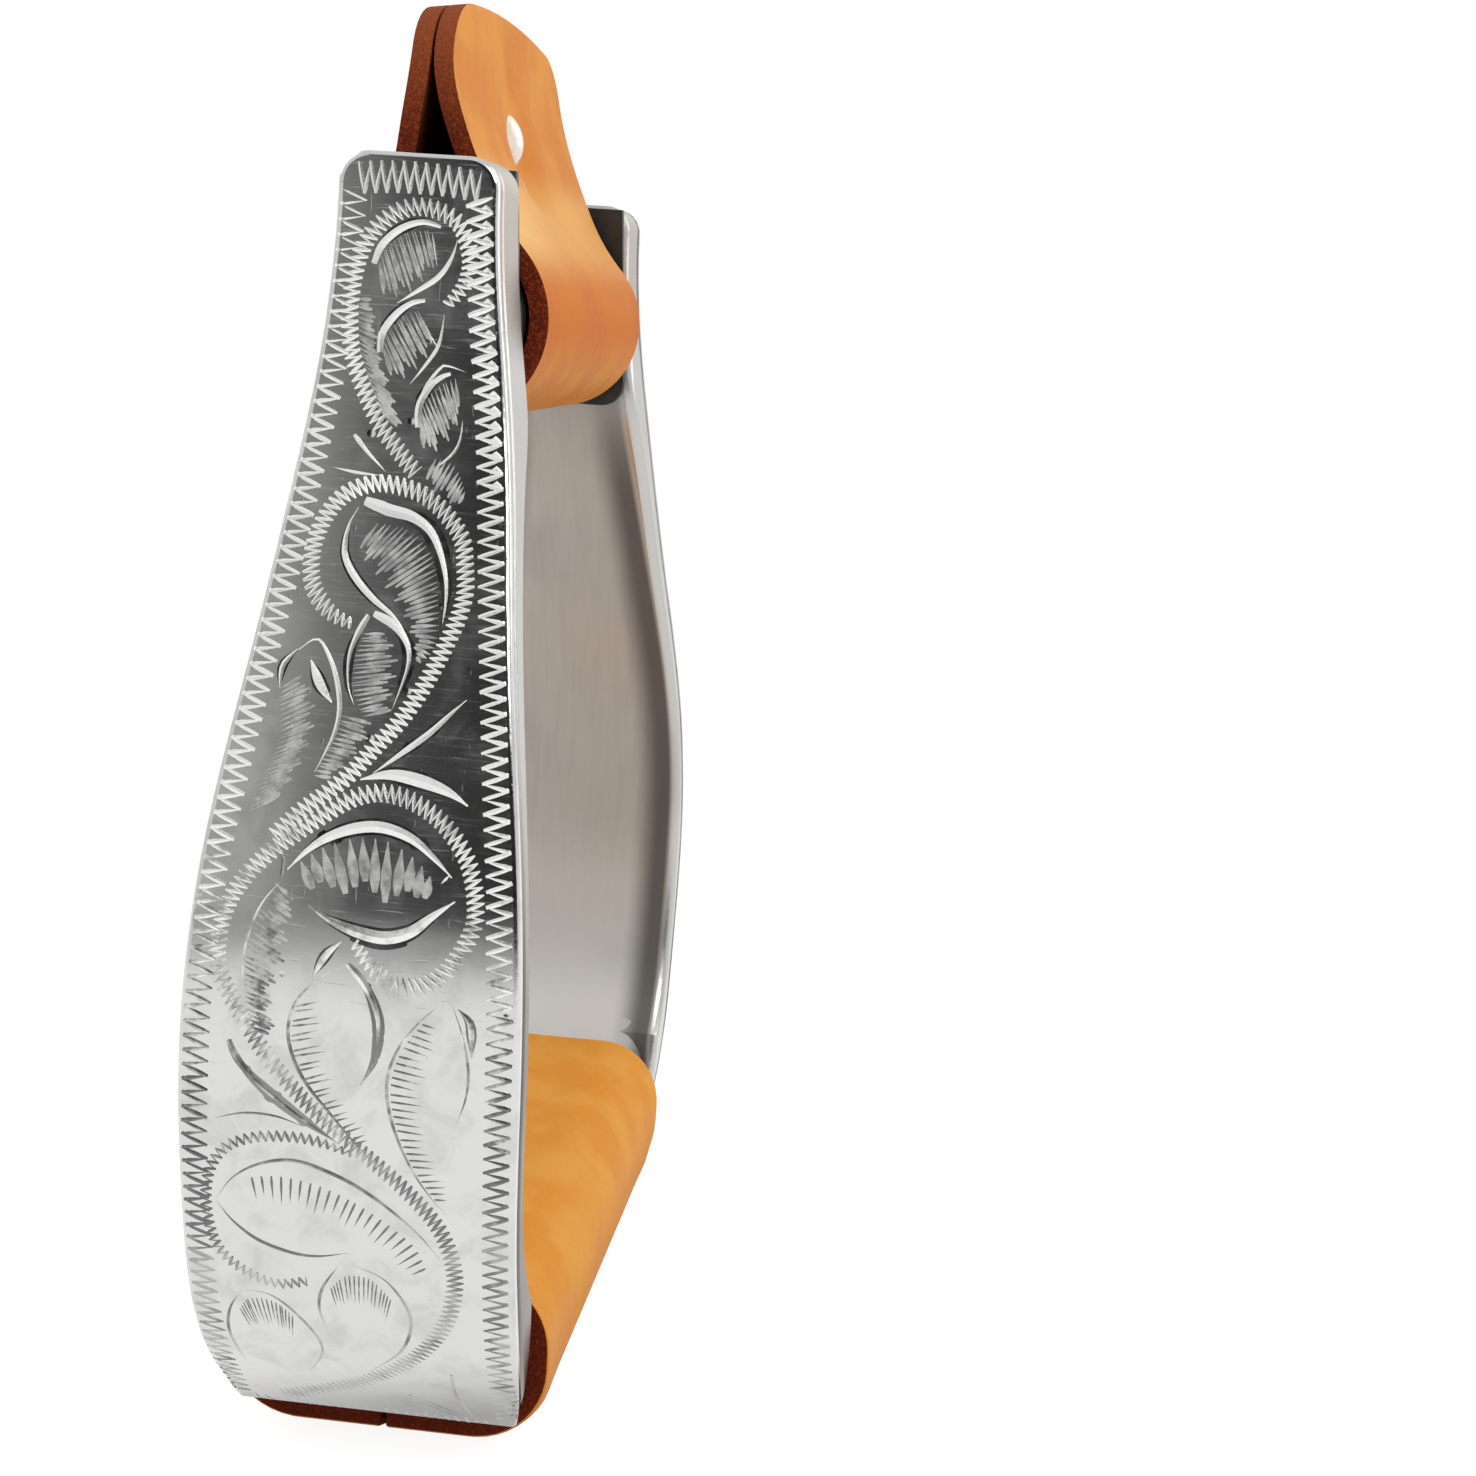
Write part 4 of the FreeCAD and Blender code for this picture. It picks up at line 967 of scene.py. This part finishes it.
@dataclass
class Engraving:
    """Western scroll engraving on the outer face of one plate."""

    node: str = "engraved_plate"
    far: float = -90.0
    bed: float = 0.015
    bold: float = 0.8
    cut_step: float = 0.7
    # Size and lift of the painted shade margins round the bold cuts.
    outline: Point2 = (1.3, 0.6)
    outline_rise: float = 0.04
    border_step: float = 1.76
    border_depth: float = 3.1
    border_insets: Point2 = (0.7, 0.55)
    rail_levels: tuple[int, int, int] = (8, 160, 3)
    curl_levels: Point2 = (118.0, 136.0)
    thin_levels: Point2 = (128.0, 146.0)
    tooth_width: float = 0.72
    tooth_step: float = 0.8
    end_pitch: float = 1.3
    top_teeth: int = 11
    top_levels: Point2 = (161.5, 157.9)
    foot_teeth: int = 24
    foot_levels: Point2 = (7.6, 6.0)
    half_widths: tuple[Point2, ...] = (
        (6.0, 19.7), (17.4, 19.9), (33.3, 20.1), (49.2, 20.15), (65.1, 19.92), (81.0, 18.76), (96.7, 16.62),
        (112.5, 14.42), (128.3, 12.44), (144.0, 10.36), (162.0, 9.2))
    ropes: tuple[Rope, ...] = (
        Rope((-3.6, 145.2, -6.0, 148.1, -6.5, 151.1, -5.1, 154.7, -2.5, 156.2, 0.6, 156.4, 3.4, 155.0, 5.5, 152.8,
              6.7, 150.0, 7.3, 146.6, 7.4, 143.0, 6.9, 139.3, 5.3, 135.4, 3.1, 131.6, 0.6, 128.7, -1.9, 126.1)),
        Rope((3.2, 108.8, 6.3, 110.0, 8.7, 112.6, 9.4, 116.0, 9.0, 119.0, 7.7, 121.8, 5.8, 123.7, 3.0, 124.8,
              -0.1, 124.7, -3.1, 123.8, -5.8, 121.9, -7.9, 119.3, -8.6, 116.6, -9.0, 113.6, -8.7, 111.2, -8.1, 109.2,
              -6.9, 106.0, -5.3, 102.4, -3.2, 98.8, -0.7, 95.7, 1.9, 92.5, 4.6, 90.0, 7.3, 87.8, 10.3, 84.6)),
        Rope((0.2, 74.1, -1.9, 71.5, -4.9, 69.3, -8.1, 69.3, -10.7, 71.0, -12.7, 73.8, -13.9, 77.0, -13.7, 80.4,
              -12.6, 83.8, -10.8, 86.4, -8.2, 88.7, -4.9, 90.2, -1.6, 90.6, 1.6, 89.6, 4.6, 87.6, 7.5, 85.4,
              10.2, 83.2, 12.9, 80.2, 14.8, 76.9, 15.6, 73.3, 15.6, 70.0, 14.6, 67.2, 12.7, 64.2, 10.2, 60.4,
              7.6, 57.2, 4.4, 53.9, 0.5, 50.5, -3.8, 47.2, -7.7, 43.8, -10.9, 40.0, -12.6, 35.7, -12.9, 31.5,
              -11.7, 26.4, -8.9, 21.6, -4.7, 17.2, 1.1, 12.9, 6.8, 10.1, 12.0, 8.0)),
        Rope((-1.5, 48.0, 2.4, 49.3, 6.3, 49.7, 10.7, 49.2, 14.2, 47.6, 16.2, 44.7, 16.9, 40.6, 16.5, 36.2,
              15.1, 32.9, 12.0, 30.4, 8.5, 29.4, 4.7, 30.4), 1.4, 0.95))
    cuts: tuple[Cut, ...] = (
        Cut((4.8, 149.8, 3.9, 152.0, 1.8, 153.9, -0.7, 154.8, -2.9, 154.4), 1.0, Taper.WEDGE),
        Cut((1.9, 145.5, -0.4, 147.0, -2.9, 148.8, -4.3, 151.0, -4.9, 153.1), 0.7),
        Cut((-1.9, 153.6, -2.3, 151.8, -2.6, 150.0), 0.35),
        Cut((3.7, 139.8, 3.5, 142.0, 2.0, 144.2, 0.2, 145.6, -1.4, 146.0), 1.0, Taper.WEDGE),
        Cut((-3.7, 144.6, -3.5, 142.5, -3.1, 140.8, -2.0, 139.0, -0.1, 136.4), 0.5),
        Cut((-1.0, 144.1, -1.9, 142.5, -3.0, 140.9), 0.35),
        Cut((-1.4, 131.5, -1.4, 134.1, -2.5, 136.3, -3.7, 137.4, -4.8, 137.9), 1.0, Taper.WEDGE),
        Cut((-0.9, 132.8, -1.8, 135.9, -3.7, 138.6, -4.7, 138.7, -6.5, 138.2), 0.45),
        Cut((-6.6, 132.6, -6.5, 130.4, -5.7, 128.7, -3.4, 126.6), 0.4),
        Cut((6.0, 130.2, 4.1, 128.2, 1.8, 126.2), 0.7, Taper.THORN),
        Cut((8.0, 126.3, 5.1, 125.9, 2.5, 125.8), 0.45),
        Cut((3.9, 122.8, 1.1, 122.0, -1.8, 121.4, -4.1, 120.0, -5.6, 117.6, -6.6, 114.7, -6.9, 112.2, -6.8, 109.7),
             1.7, Taper.THORN),
        Cut((4.6, 122.0, 5.5, 119.8, 5.7, 117.4, 5.2, 115.8, 3.8, 113.9, 1.6, 111.9, -0.9, 110.2, -2.8, 108.2), 1.0),
        Cut((1.9, 110.1, 3.0, 107.7, 3.6, 105.2, 3.3, 102.1, 2.3, 99.9), 0.9, Taper.THORN),
        Cut((1.3, 110.3, -1.2, 109.2, -3.0, 107.2, -3.4, 105.1, -2.9, 102.6, -2.1, 99.9), 1.2, Taper.THORN),
        Cut((11.3, 101.3, 11.2, 103.8, 9.7, 105.7), 0.8),
        Cut((9.6, 105.6, 7.6, 107.0, 6.0, 105.3, 4.7, 102.6, 4.0, 99.5, 4.3, 96.7, 5.3, 94.1, 6.1, 92.3), 0.7),
        Cut((8.0, 104.6, 6.6, 102.0, 5.0, 100.1), 1.3),
        Cut((-0.7, 92.7, -3.7, 95.1, -6.7, 97.6, -9.1, 100.1, -10.6, 101.6), 0.9),
        Cut((0.7, 91.9, -2.7, 92.7, -6.3, 92.3, -9.7, 91.3, -12.0, 90.0), 1.7),
        Cut((8.2, 81.2, 6.2, 83.4, 3.8, 85.2, 0.6, 86.5, -2.6, 86.8, -6.0, 85.8, -8.8, 83.8, -10.9, 81.9), 1.5),
        Cut((5.4, 77.4, 3.0, 76.0, -0.4, 74.9, -3.7, 74.5, -6.6, 75.4, -8.9, 77.3, -11.5, 79.3), 1.7),
        Cut((-9.7, 81.1, -10.7, 82.3), 0.4),
        Cut((8.9, 79.8, 10.8, 77.3, 12.0, 74.3, 12.6, 71.0, 12.5, 66.4), 0.4),
        Cut((1.3, 73.6, 3.0, 71.9, 4.4, 69.3), 1.0),
        Cut((0.6, 71.1, 3.8, 69.0, 6.3, 66.0, 7.0, 62.5, 6.1, 59.0, 4.3, 56.0, 1.9, 53.2, -1.1, 49.8, -3.6, 47.3),
             0.55),
        Cut((0.4, 71.1, -1.6, 69.1, -3.1, 66.2, -3.6, 63.5, -3.2, 60.0, -1.7, 57.0), 1.1, Taper.THORN),
        Cut((-11.6, 68.2, -8.7, 65.6, -6.2, 62.2, -4.9, 58.5, -5.0, 54.9, -6.2, 50.8, -8.2, 46.6, -10.6, 43.2,
             -12.0, 41.7), 0.5),
        Cut((-12.0, 67.4, -13.2, 64.5, -14.2, 60.3, -14.1, 56.8, -13.1, 53.4), 0.45),
        Cut((-12.7, 67.1, -14.2, 65.4, -14.6, 61.5), 0.9),
        Cut((14.0, 60.9, 12.9, 58.7, 10.7, 56.3, 7.5, 53.8, 4.4, 51.7, 0.7, 49.4), 1.1, Taper.THORN),
        Cut((15.8, 51.0, 12.2, 52.1, 8.3, 52.1, 4.8, 51.1), 0.4),
        Cut((15.6, 40.7, 13.5, 43.7, 10.3, 45.8, 6.4, 46.7, 2.4, 45.8, -1.5, 44.1, -5.4, 41.5, -8.9, 38.4,
             -11.3, 35.4), 0.6),
        Cut((15.6, 40.3, 13.7, 37.8, 10.7, 35.5, 6.7, 34.2, 3.5, 34.1, -0.1, 35.0), 0.6),
        Cut((13.3, 28.0, 15.2, 24.6, 15.8, 20.6, 14.8, 15.3), 0.5),
        Cut((12.8, 28.0, 9.6, 27.5, 6.7, 24.8, 4.6, 21.2, 4.6, 18.2, 7.0, 14.3), 0.5),
        Cut((1.2, 32.9, 3.3, 29.4, 3.9, 26.2, 3.2, 23.1), 0.5),
        Cut((-0.8, 33.3, -4.3, 31.8, -6.6, 28.7, -7.3, 25.2, -5.6, 20.5, -1.1, 15.9), 0.55),
        Cut((-5.3, 11.3, -8.7, 9.0, -12.7, 7.1), 0.8, Taper.THORN),
        Cut((-11.5, 17.0, -11.5, 12.0, -13.2, 7.0), 0.6, Taper.THORN))
    fans: tuple[Fan, ...] = (
        Fan((4.4, 149.6, 3.4, 151.6, 1.6, 153.3, -1.6, 154.0), (3.6, 145.6, 1.6, 146.0, -0.6, 147.2, -2.6, 150.0), 17,
             0.95),
        Fan((3.4, 139.8, 3.0, 142.0, 1.6, 143.8, -0.8, 144.9), (2.2, 136.6, 0.4, 136.8, -1.6, 138.6, -2.9, 140.8), 15,
             0.95),
        Fan((-1.6, 131.6, -1.8, 134.0, -3.0, 136.0, -5.6, 137.6), (-2.2, 128.6, -4.2, 128.8, -5.6, 130.4,
             -6.4, 133.0), 14, 0.95),
        Fan((6.6, 146.0, 6.2, 141.0, 5.2, 137.4, 3.4, 133.2), (4.4, 146.0, 3.2, 139.4, 1.6, 135.6, -0.6, 130.0), 26,
             0.85, 0.28),
        Fan((-3.6, 128.2, -6.2, 127.4, -7.8, 124.4), (-2.6, 125.2, -4.6, 123.6, -7.0, 122.4), 10, 0.9),
        Fan((2.4, 120.4, -1.8, 119.8, -4.8, 117.0, -6.0, 112.6, -6.4, 107.4, -4.6, 105.0), (4.6, 116.6, 3.2, 114.8,
             1.0, 112.4, -1.2, 110.4, -3.0, 107.8, -4.0, 106.0), 30, 0.86, 0.5),
        Fan((2.2, 108.2, 3.0, 105.0, 2.8, 101.6, 1.0, 98.6), (-0.6, 108.4, -2.4, 105.4, -2.2, 102.0, -2.2, 99.6), 20,
             0.95, 0.4),
        Fan((3.6, 99.0, 4.4, 96.2, 5.6, 93.4, 6.2, 91.6), (-1.0, 98.2, 0.2, 95.8, 2.2, 93.4, 3.8, 91.6), 15, 0.9,
             0.34),
        Fan((10.9, 101.6, 11.0, 99.0, 10.6, 95.6, 12.4, 90.2, 13.4, 87.0), (8.4, 103.4, 6.6, 100.4, 6.4, 96.6,
             7.6, 92.6, 9.6, 89.4), 28, 0.9, 0.36),
        Fan((7.4, 81.6, 4.4, 84.0, 0.4, 85.4, -3.4, 85.2, -6.8, 83.4, -9.0, 81.2), (5.2, 78.4, 3.2, 78.4, 0.4, 78.4,
             -2.6, 77.8, -5.6, 77.8, -8.4, 79.4), 12, 0.9, 1.1),
        Fan((9.4, 79.8, 11.4, 76.0, 12.4, 72.0, 12.4, 67.6, 11.4, 62.4), (6.4, 77.6, 7.0, 73.6, 7.4, 70.2, 8.6, 66.4,
             8.0, 61.4), 26, 0.9, 0.36),
        Fan((6.0, 66.2, 6.6, 62.4, 5.8, 58.8, 4.0, 55.6, 1.6, 52.6, -1.6, 49.2), (2.2, 67.2, 1.4, 62.6, 0.8, 58.6,
             -0.4, 55.4, -2.4, 52.8, -4.2, 50.6), 22, 0.75, 0.42, Taper.THORN),
        Fan((-9.0, 65.4, -6.6, 62.0, -5.4, 58.4, -5.4, 54.8, -6.6, 50.6, -8.6, 46.4, -11.0, 43.0), (-11.6, 64.6,
             -11.4, 61.0, -10.8, 57.4, -10.6, 53.8, -11.2, 50.0, -12.6, 46.6, -13.6, 43.4), 26, 0.75, 0.42,
             Taper.THORN),
        Fan((11.8, 43.8, 8.0, 44.4, 3.6, 43.8, -0.6, 42.2, -4.6, 39.8, -8.2, 36.8, -9.6, 33.4), (11.0, 39.4,
             8.0, 39.2, 4.6, 38.4, 0.8, 37.4, -2.4, 35.6, -4.6, 33.4, -6.6, 31.4), 22, 0.75, 0.46, Taper.THORN),
        Fan((14.0, 24.6, 12.6, 26.6, 9.6, 26.6, 7.2, 24.4), (11.4, 17.6, 10.6, 17.6, 9.4, 17.6, 8.2, 17.6), 16, 0.55,
             0.34, Taper.THORN),
        Fan((2.4, 29.4, 0.2, 31.6, -2.8, 31.4, -5.2, 28.6), (1.4, 23.4, -0.4, 23.0, -2.0, 22.8, -3.8, 22.8), 16, 0.55,
             0.34, Taper.THORN))

    def __post_init__(self) -> None:
        """Readies the plate's face for laying the cuts on it."""
        plate = bmesh.new()
        plate.from_mesh(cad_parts[self.node].data)
        bmesh.ops.scale(plate, vec=(1 / MM,) * 3, verts=plate.verts)
        self.face = BVHTree.FromBMesh(plate)
        plate.free()
        self.shape = bmesh.new()

    def on_plate(self, spot: Point2) -> tuple[Vector, Vector]:
        """Point and outward normal of the plate.

        Args:
            spot: place across and up.

        Returns:
            The point and the normal; a spot past the plate's edge is drawn back to it.
        """
        across, up = spot
        for _ in range(8):
            point, normal, _, _ = self.face.ray_cast(Vector((self.far, across, up)), Vector((1.0, 0.0, 0.0)))
            if point is not None and normal.x < -0.2 and point.x < -30.0:
                return point, normal
            across *= 0.97
            up += 0.25 if up < 20.0 else -0.25
        raise ValueError("no plate at %s" % (spot,))

    def trace(self, line: Sequence[Point2], step: float) -> list[Point2]:
        """Follows a smooth line through points.

        Args:
            line: points across and up.
            step: distance between the results on the plate.

        Returns:
            Evenly spaced points.
        """
        ends = [line[0], *line, line[-1]]
        fine: list[Point2] = []
        for a, b, c, d in zip(ends, ends[1:], ends[2:], ends[3:]):
            for number in range(12):
                t = number / 12
                fine.append(tuple(0.5 * (2 * q + (r - p) * t + (2 * p - 5 * q + 4 * r - s) * t * t
                                         + (3 * q - p - 3 * r + s) * t ** 3) for p, q, r, s in zip(a, b, c, d)))
        fine.append(line[-1])
        spots = [self.on_plate(spot)[0] for spot in fine]
        run = [0.0]
        for first, last in zip(spots, spots[1:]):
            run.append(run[-1] + (last - first).length)
        count = max(2, round(run[-1] / step))
        result, place = [], 0
        for number in range(count + 1):
            goal = run[-1] * number / count
            while place < len(run) - 2 and run[place + 1] < goal:
                place += 1
            share = (goal - run[place]) / max(1e-6, run[place + 1] - run[place])
            result.append(tuple(p + (q - p) * share for p, q in zip(fine[place], fine[place + 1])))
        return result

    def stroke(self, path: Sequence[Point2], width: float, taper: Taper, rise: float = 0.3) -> None:
        """Lays one cut on the plate as a ridge of two bright facets.

        Args:
            path: its middle line.
            width: its full width.
            taper: how the width runs.
            rise: slope of the facets.
        """
        seats = [self.on_plate(spot) for spot in path]
        last = len(seats) - 1
        made = bmesh.ops.create_grid(self.shape, x_segments=last, y_segments=2, size=1.0)["verts"]
        for vertex in made:
            number = round((vertex.co.x + 1.0) / 2.0 * last)
            side = round(vertex.co.y)
            point, normal = seats[number]
            ahead = (seats[min(last, number + 1)][0] - seats[max(0, number - 1)][0]).normalized()
            across = normal.cross(ahead).normalized()
            half = width * taper.share(number / last) / 2.0
            lift = rise * half if side == 0 else -self.bed
            vertex.co = point + across * (half * side) + normal * lift

    def cut(self, line: Sequence[Point2], width: float, taper: Taper, step: float, rise: float = 0.3) -> None:
        """Cuts along a smooth line through points, with a seat at each step."""
        self.stroke(self.trace(line, step), width, taper, rise)

    def edge_border(self, side: float, inset: float) -> None:
        """Cuts the zigzag along one long edge of the plate, with small curls at its upper end.

        Args:
            side: -1 for the front edge, 1 for the back one.
            inset: distance of the teeth from the edge.
        """
        rail = [(side * (between(self.half_widths, up)[0] - inset), float(up)) for up in range(*self.rail_levels)]
        outer = self.trace(rail, self.border_step)
        for number, (here, there) in enumerate(zip(outer, outer[1:])):
            across, low = here
            up = (low + there[1]) / 2 - 0.3
            tip = (side * (between(self.half_widths, up)[0] - inset - self.border_depth), up)
            high = smooth(low, *self.curl_levels) if side < 0 else 0.0
            width = self.tooth_width + 0.16 * high + 0.12 * math.sin(number * 2.3)
            width -= 0.24 * smooth(low, *self.thin_levels) if side > 0 else 0.0
            self.cut((here, tip), width, Taper.THORN, self.tooth_step)
            self.cut((tip, there), width * 0.86, Taper.WEDGE, self.tooth_step)
            if high > 0.3:
                curl = (here, (across - side * 0.9, low + 0.7), (across - side * 1.5, low - 0.1))
                self.cut(curl, 0.55, Taper.LENS, 0.5)
            self.cut((here, (across - side * 0.5, low + 0.25)), 0.6, Taper.LENS, 0.3)

    def border(self) -> None:
        """Cuts the borders along the plate's long edges, across its top and across its foot."""
        for side, inset in zip((-1.0, 1.0), self.border_insets):
            self.edge_border(side, inset)
        for number in range(self.top_teeth):
            across = 6.9 - number * self.end_pitch
            drop = 0.5 * (abs(number - 4.5) / 5.5) ** 2
            high, low = (level - drop for level in self.top_levels)
            self.cut(((across, high), (across - 0.7, low)), 0.6, Taper.WEDGE, self.tooth_step)
            self.cut(((across - 0.7, low), (across - self.end_pitch, high)), 0.66, Taper.THORN, self.tooth_step)
        high, low = self.foot_levels
        for number in range(self.foot_teeth):
            across = 15.6 - number * self.end_pitch
            self.cut(((across, high), (across - 0.5, low)), 0.5, Taper.LENS, self.tooth_step)

    def rope(self, rope: Rope) -> None:
        """Cuts a stem as a row of short slanting strokes.

        Args:
            rope: the stem.
        """
        path = self.trace(pairs(rope.line), rope.step)
        for number in range(1, len(path) - 1):
            run = Vector(path[number + 1]) - Vector(path[number - 1])
            run.normalize()
            side = Vector((-run.y, run.x))
            grow = min(1.0, 0.55 + number * 0.08)
            lean = side + run * rope.slant
            first = Vector(path[number]) - lean * rope.width / 2 * grow
            last = Vector(path[number]) + lean * rope.width / 2 * grow
            back = first + run * rope.step * 0.95
            for start, end, width in zip((first, last), (last, back), rope.widths):
                self.stroke((tuple(start), tuple((start + end) / 2), tuple(end)), width, Taper.WEDGE)

    def fan(self, fan: Fan) -> None:
        """Cuts the shading of a leaf.

        Args:
            fan: its strokes.
        """
        starts = self.trace(pairs(fan.start), 0.3)
        ends = self.trace(pairs(fan.end), 0.3)
        gap = 0.15 * (len(starts) + len(ends)) / fan.count
        for number in range(fan.count):
            share = (number + 0.5) / fan.count
            first = Vector(starts[round(share * (len(starts) - 1))])
            last = Vector(ends[round(share * (len(ends) - 1))])
            reach = fan.reach * (0.86 + 0.14 * math.sin(number * 4.7))
            last = first + (last - first) * reach
            path = [tuple(first + (last - first) * part / 4) for part in range(5)]
            width = max(fan.width, 0.94 * gap) if fan.taper is Taper.BLADE else fan.width
            self.stroke(path, width, fan.taper)

    def lay(self, name: str, finish: Finish) -> None:
        """Turns the cuts made so far into a piece on the plate and starts afresh."""
        new_piece(name, self.shape, [finish], "stirrup", flat=True)
        self.shape = bmesh.new()

    def build(self) -> None:
        """Cuts the whole ornament."""
        self.border()
        for rope in self.ropes:
            self.rope(rope)
        for cut in self.cuts:
            self.cut(pairs(cut.line), cut.width, cut.taper, self.cut_step)
        self.lay("scroll_engraving", BrightCut())
        for fan in self.fans:
            self.fan(fan)
        self.lay("leaf_shading", SHADING)
        # Dark margins laid under the bold cuts are painted shade.
        grow, margin = self.outline
        for cut in self.cuts:
            if cut.width >= self.bold:
                self.cut(pairs(cut.line), cut.width * grow + margin, Taper.LENS, self.cut_step, self.outline_rise)
        self.lay("painted_cut_shadows", PAINTED_CUT_SHADOW)
        self.shape.free()


# Parts that keep their solids


@dataclass
class MetalParts:
    """Finishes of the nodes that are kept as they are."""

    finishes: dict[str, Finish] = field(default_factory=lambda: {
        "frame_casting": CastMetal(),
        "engraved_plate": PlateMetal("engraved_plate_metal", srgb(212, 212, 211), srgb(184, 184, 183), polish=0.13,
                                     darkening=0.75, scratch_depth=0.006, wave_depth=0.12),
        "plain_plate": PlateMetal("plain_plate_metal", srgb(214, 213, 210), srgb(186, 184, 180), polish=0.24,
                                  darkening=0.3, scratch_depth=0.012, wave_depth=0.5),
        "engraved_plate_bond": SEAM,
        "plain_plate_bond": SEAM,
        "engraved_side_liner": BlackPlastic(),
        "plain_side_liner": BlackPlastic(),
        "stirrup_bolt": PLATED_STEEL,
        "bolt_washer": PLATED_STEEL,
        "bolt_nut": PLATED_STEEL,
        "roller": BlackPlastic("black_roller", srgb(30, 29, 29), srgb(60, 57, 54), 0.34),
        "rivet_cap": ENAMEL,
        "rivet_post": replace(ENAMEL, name="ivory_enamel_back"),
        "tread_stitching": WaxedThread()})

    def dress(self) -> None:
        """Puts each finish on its node."""
        for name, finish in self.finishes.items():
            finish.put_on(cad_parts[name])
            LOG.info("%s: %s", name, finish.name)


# Studio


@dataclass
class Studio:
    """Camera, floor, lights and surroundings."""

    eye: Place = (-310.684, -66.27, 145.23)
    forward: Place = (0.97902, 0.09647, -0.17948)
    right: Place = (0.10971, -0.99181, 0.06537)
    down: Place = (-0.1717, -0.08369, -0.98159)
    lens: float = 54.668
    floor_reach: float = 4000.0
    glossy_floor: Point2 = (-1.1, -0.25)
    aim: Place = (0.0, 0.0, 90.0)
    lamps: tuple[tuple[str, Place, float, float], ...] = (
        ("key", (-300.0, -420.0, 520.0), 380.0, 1.9), ("fill", (380.0, -380.0, 360.0), 420.0, 1.0),
        ("back", (120.0, 480.0, 460.0), 420.0, 0.9))

    def camera(self) -> None:
        """Sets the camera at the photograph's place."""
        data = bpy.data.cameras.new("camera")
        data.lens = self.lens
        data.sensor_width = 36.0
        data.clip_start = 0.01
        data.clip_end = 100.0
        camera = add_object("camera", data)
        columns = (Vector(self.right), -Vector(self.down), -Vector(self.forward))
        turn = Matrix([[column[row] for column in columns] for row in range(3)])
        camera.matrix_world = Matrix.Translation(Vector(self.eye) * MM) @ turn.to_4x4()
        bpy.context.scene.camera = camera

    def floor(self) -> None:
        """Lays a plain white floor that keeps the shadow."""
        shape = bmesh.new()
        bmesh.ops.create_grid(shape, x_segments=1, y_segments=1, size=self.floor_reach)
        floor = add_mesh("floor", shape)
        made = bpy.data.materials.new("floor_white")
        made.use_nodes = True
        tree = Tree(made.node_tree)
        paper = tree.node("ShaderNodeBsdfDiffuse", inputs={"Color": (0.8, 0.8, 0.8, 1.0)})
        glow = tree.node("ShaderNodeEmission", inputs={"Color": (1.0, 1.0, 1.0, 1.0), "Strength": 1.3})
        path = tree.node("ShaderNodeLightPath")
        x = tree.split(tree.take(tree.node("ShaderNodeTexCoord"), "Object"))[0]
        near = tree.span(x, *self.glossy_floor, 0.08, 1.0)
        seen = (tree.take(path, "Is Camera Ray") + tree.take(path, "Is Glossy Ray") * near).clamp() * 0.7
        both = tree.node("ShaderNodeMixShader", inputs={0: seen, 1: tree.take(paper), 2: tree.take(glow)})
        tree.node("ShaderNodeOutputMaterial", inputs={"Surface": tree.take(both)})
        floor.data.materials.append(made)

    def lamp(self, name: str, place: Place, size: float, power: float) -> None:
        """Hangs a soft lamp that points at the middle of the stirrup.

        Args:
            name: the lamp's name.
            place: where it hangs, in millimetres.
            size: its side in millimetres.
            power: its power in watts.
        """
        data = bpy.data.lights.new(name, "AREA")
        data.shape = "SQUARE"
        data.size = size * MM
        data.energy = power
        lamp = add_object(name, data)
        lamp.location = Vector(place) * MM
        lamp.rotation_euler = (Vector(self.aim) - Vector(place)).to_track_quat("-Z", "Y").to_euler()

    def surroundings(self) -> None:
        """Lights the scene softly and gives the metal a dark side to mirror."""
        world = bpy.data.worlds.new("studio")
        bpy.context.scene.world = world
        world.use_nodes = True
        tree = Tree(world.node_tree)
        x, y, z = tree.split(tree.take(tree.node("ShaderNodeTexCoord"), "Generated"))
        dark = tree.span(x, -0.35, -0.6) * tree.span(y, 0.34, 0.26) * tree.span(z, 0.78, 0.5)
        dark = dark * tree.span(z, -0.2, -0.05)
        shade = 0.86 - dark * 0.84
        path = tree.node("ShaderNodeLightPath")
        gloss = tree.take(path, "Is Glossy Ray")
        eye = tree.take(path, "Is Camera Ray")
        strength = eye + (1.0 - eye) * (gloss * shade + (1.0 - gloss) * 0.46)
        glow = tree.node("ShaderNodeBackground", inputs={"Color": (1.0, 1.0, 1.0, 1.0), "Strength": strength})
        tree.node("ShaderNodeOutputWorld", inputs={"Surface": tree.take(glow)})

    def build(self) -> None:
        """Sets up the whole studio."""
        self.camera()
        self.floor()
        self.surroundings()
        for name, place, size, power in self.lamps:
            self.lamp(name, place, size, power)
        bpy.context.scene.view_settings.view_transform = "Standard"


def main() -> None:
    """Builds and dresses the stirrup."""
    logging.basicConfig(level=logging.INFO, format="%(message)s")
    Studio().build()
    MetalParts().dress()
    BoltCover().build()
    TreadSleeve().build()
    Engraving().build()


if __name__ == "__main__":
    main()
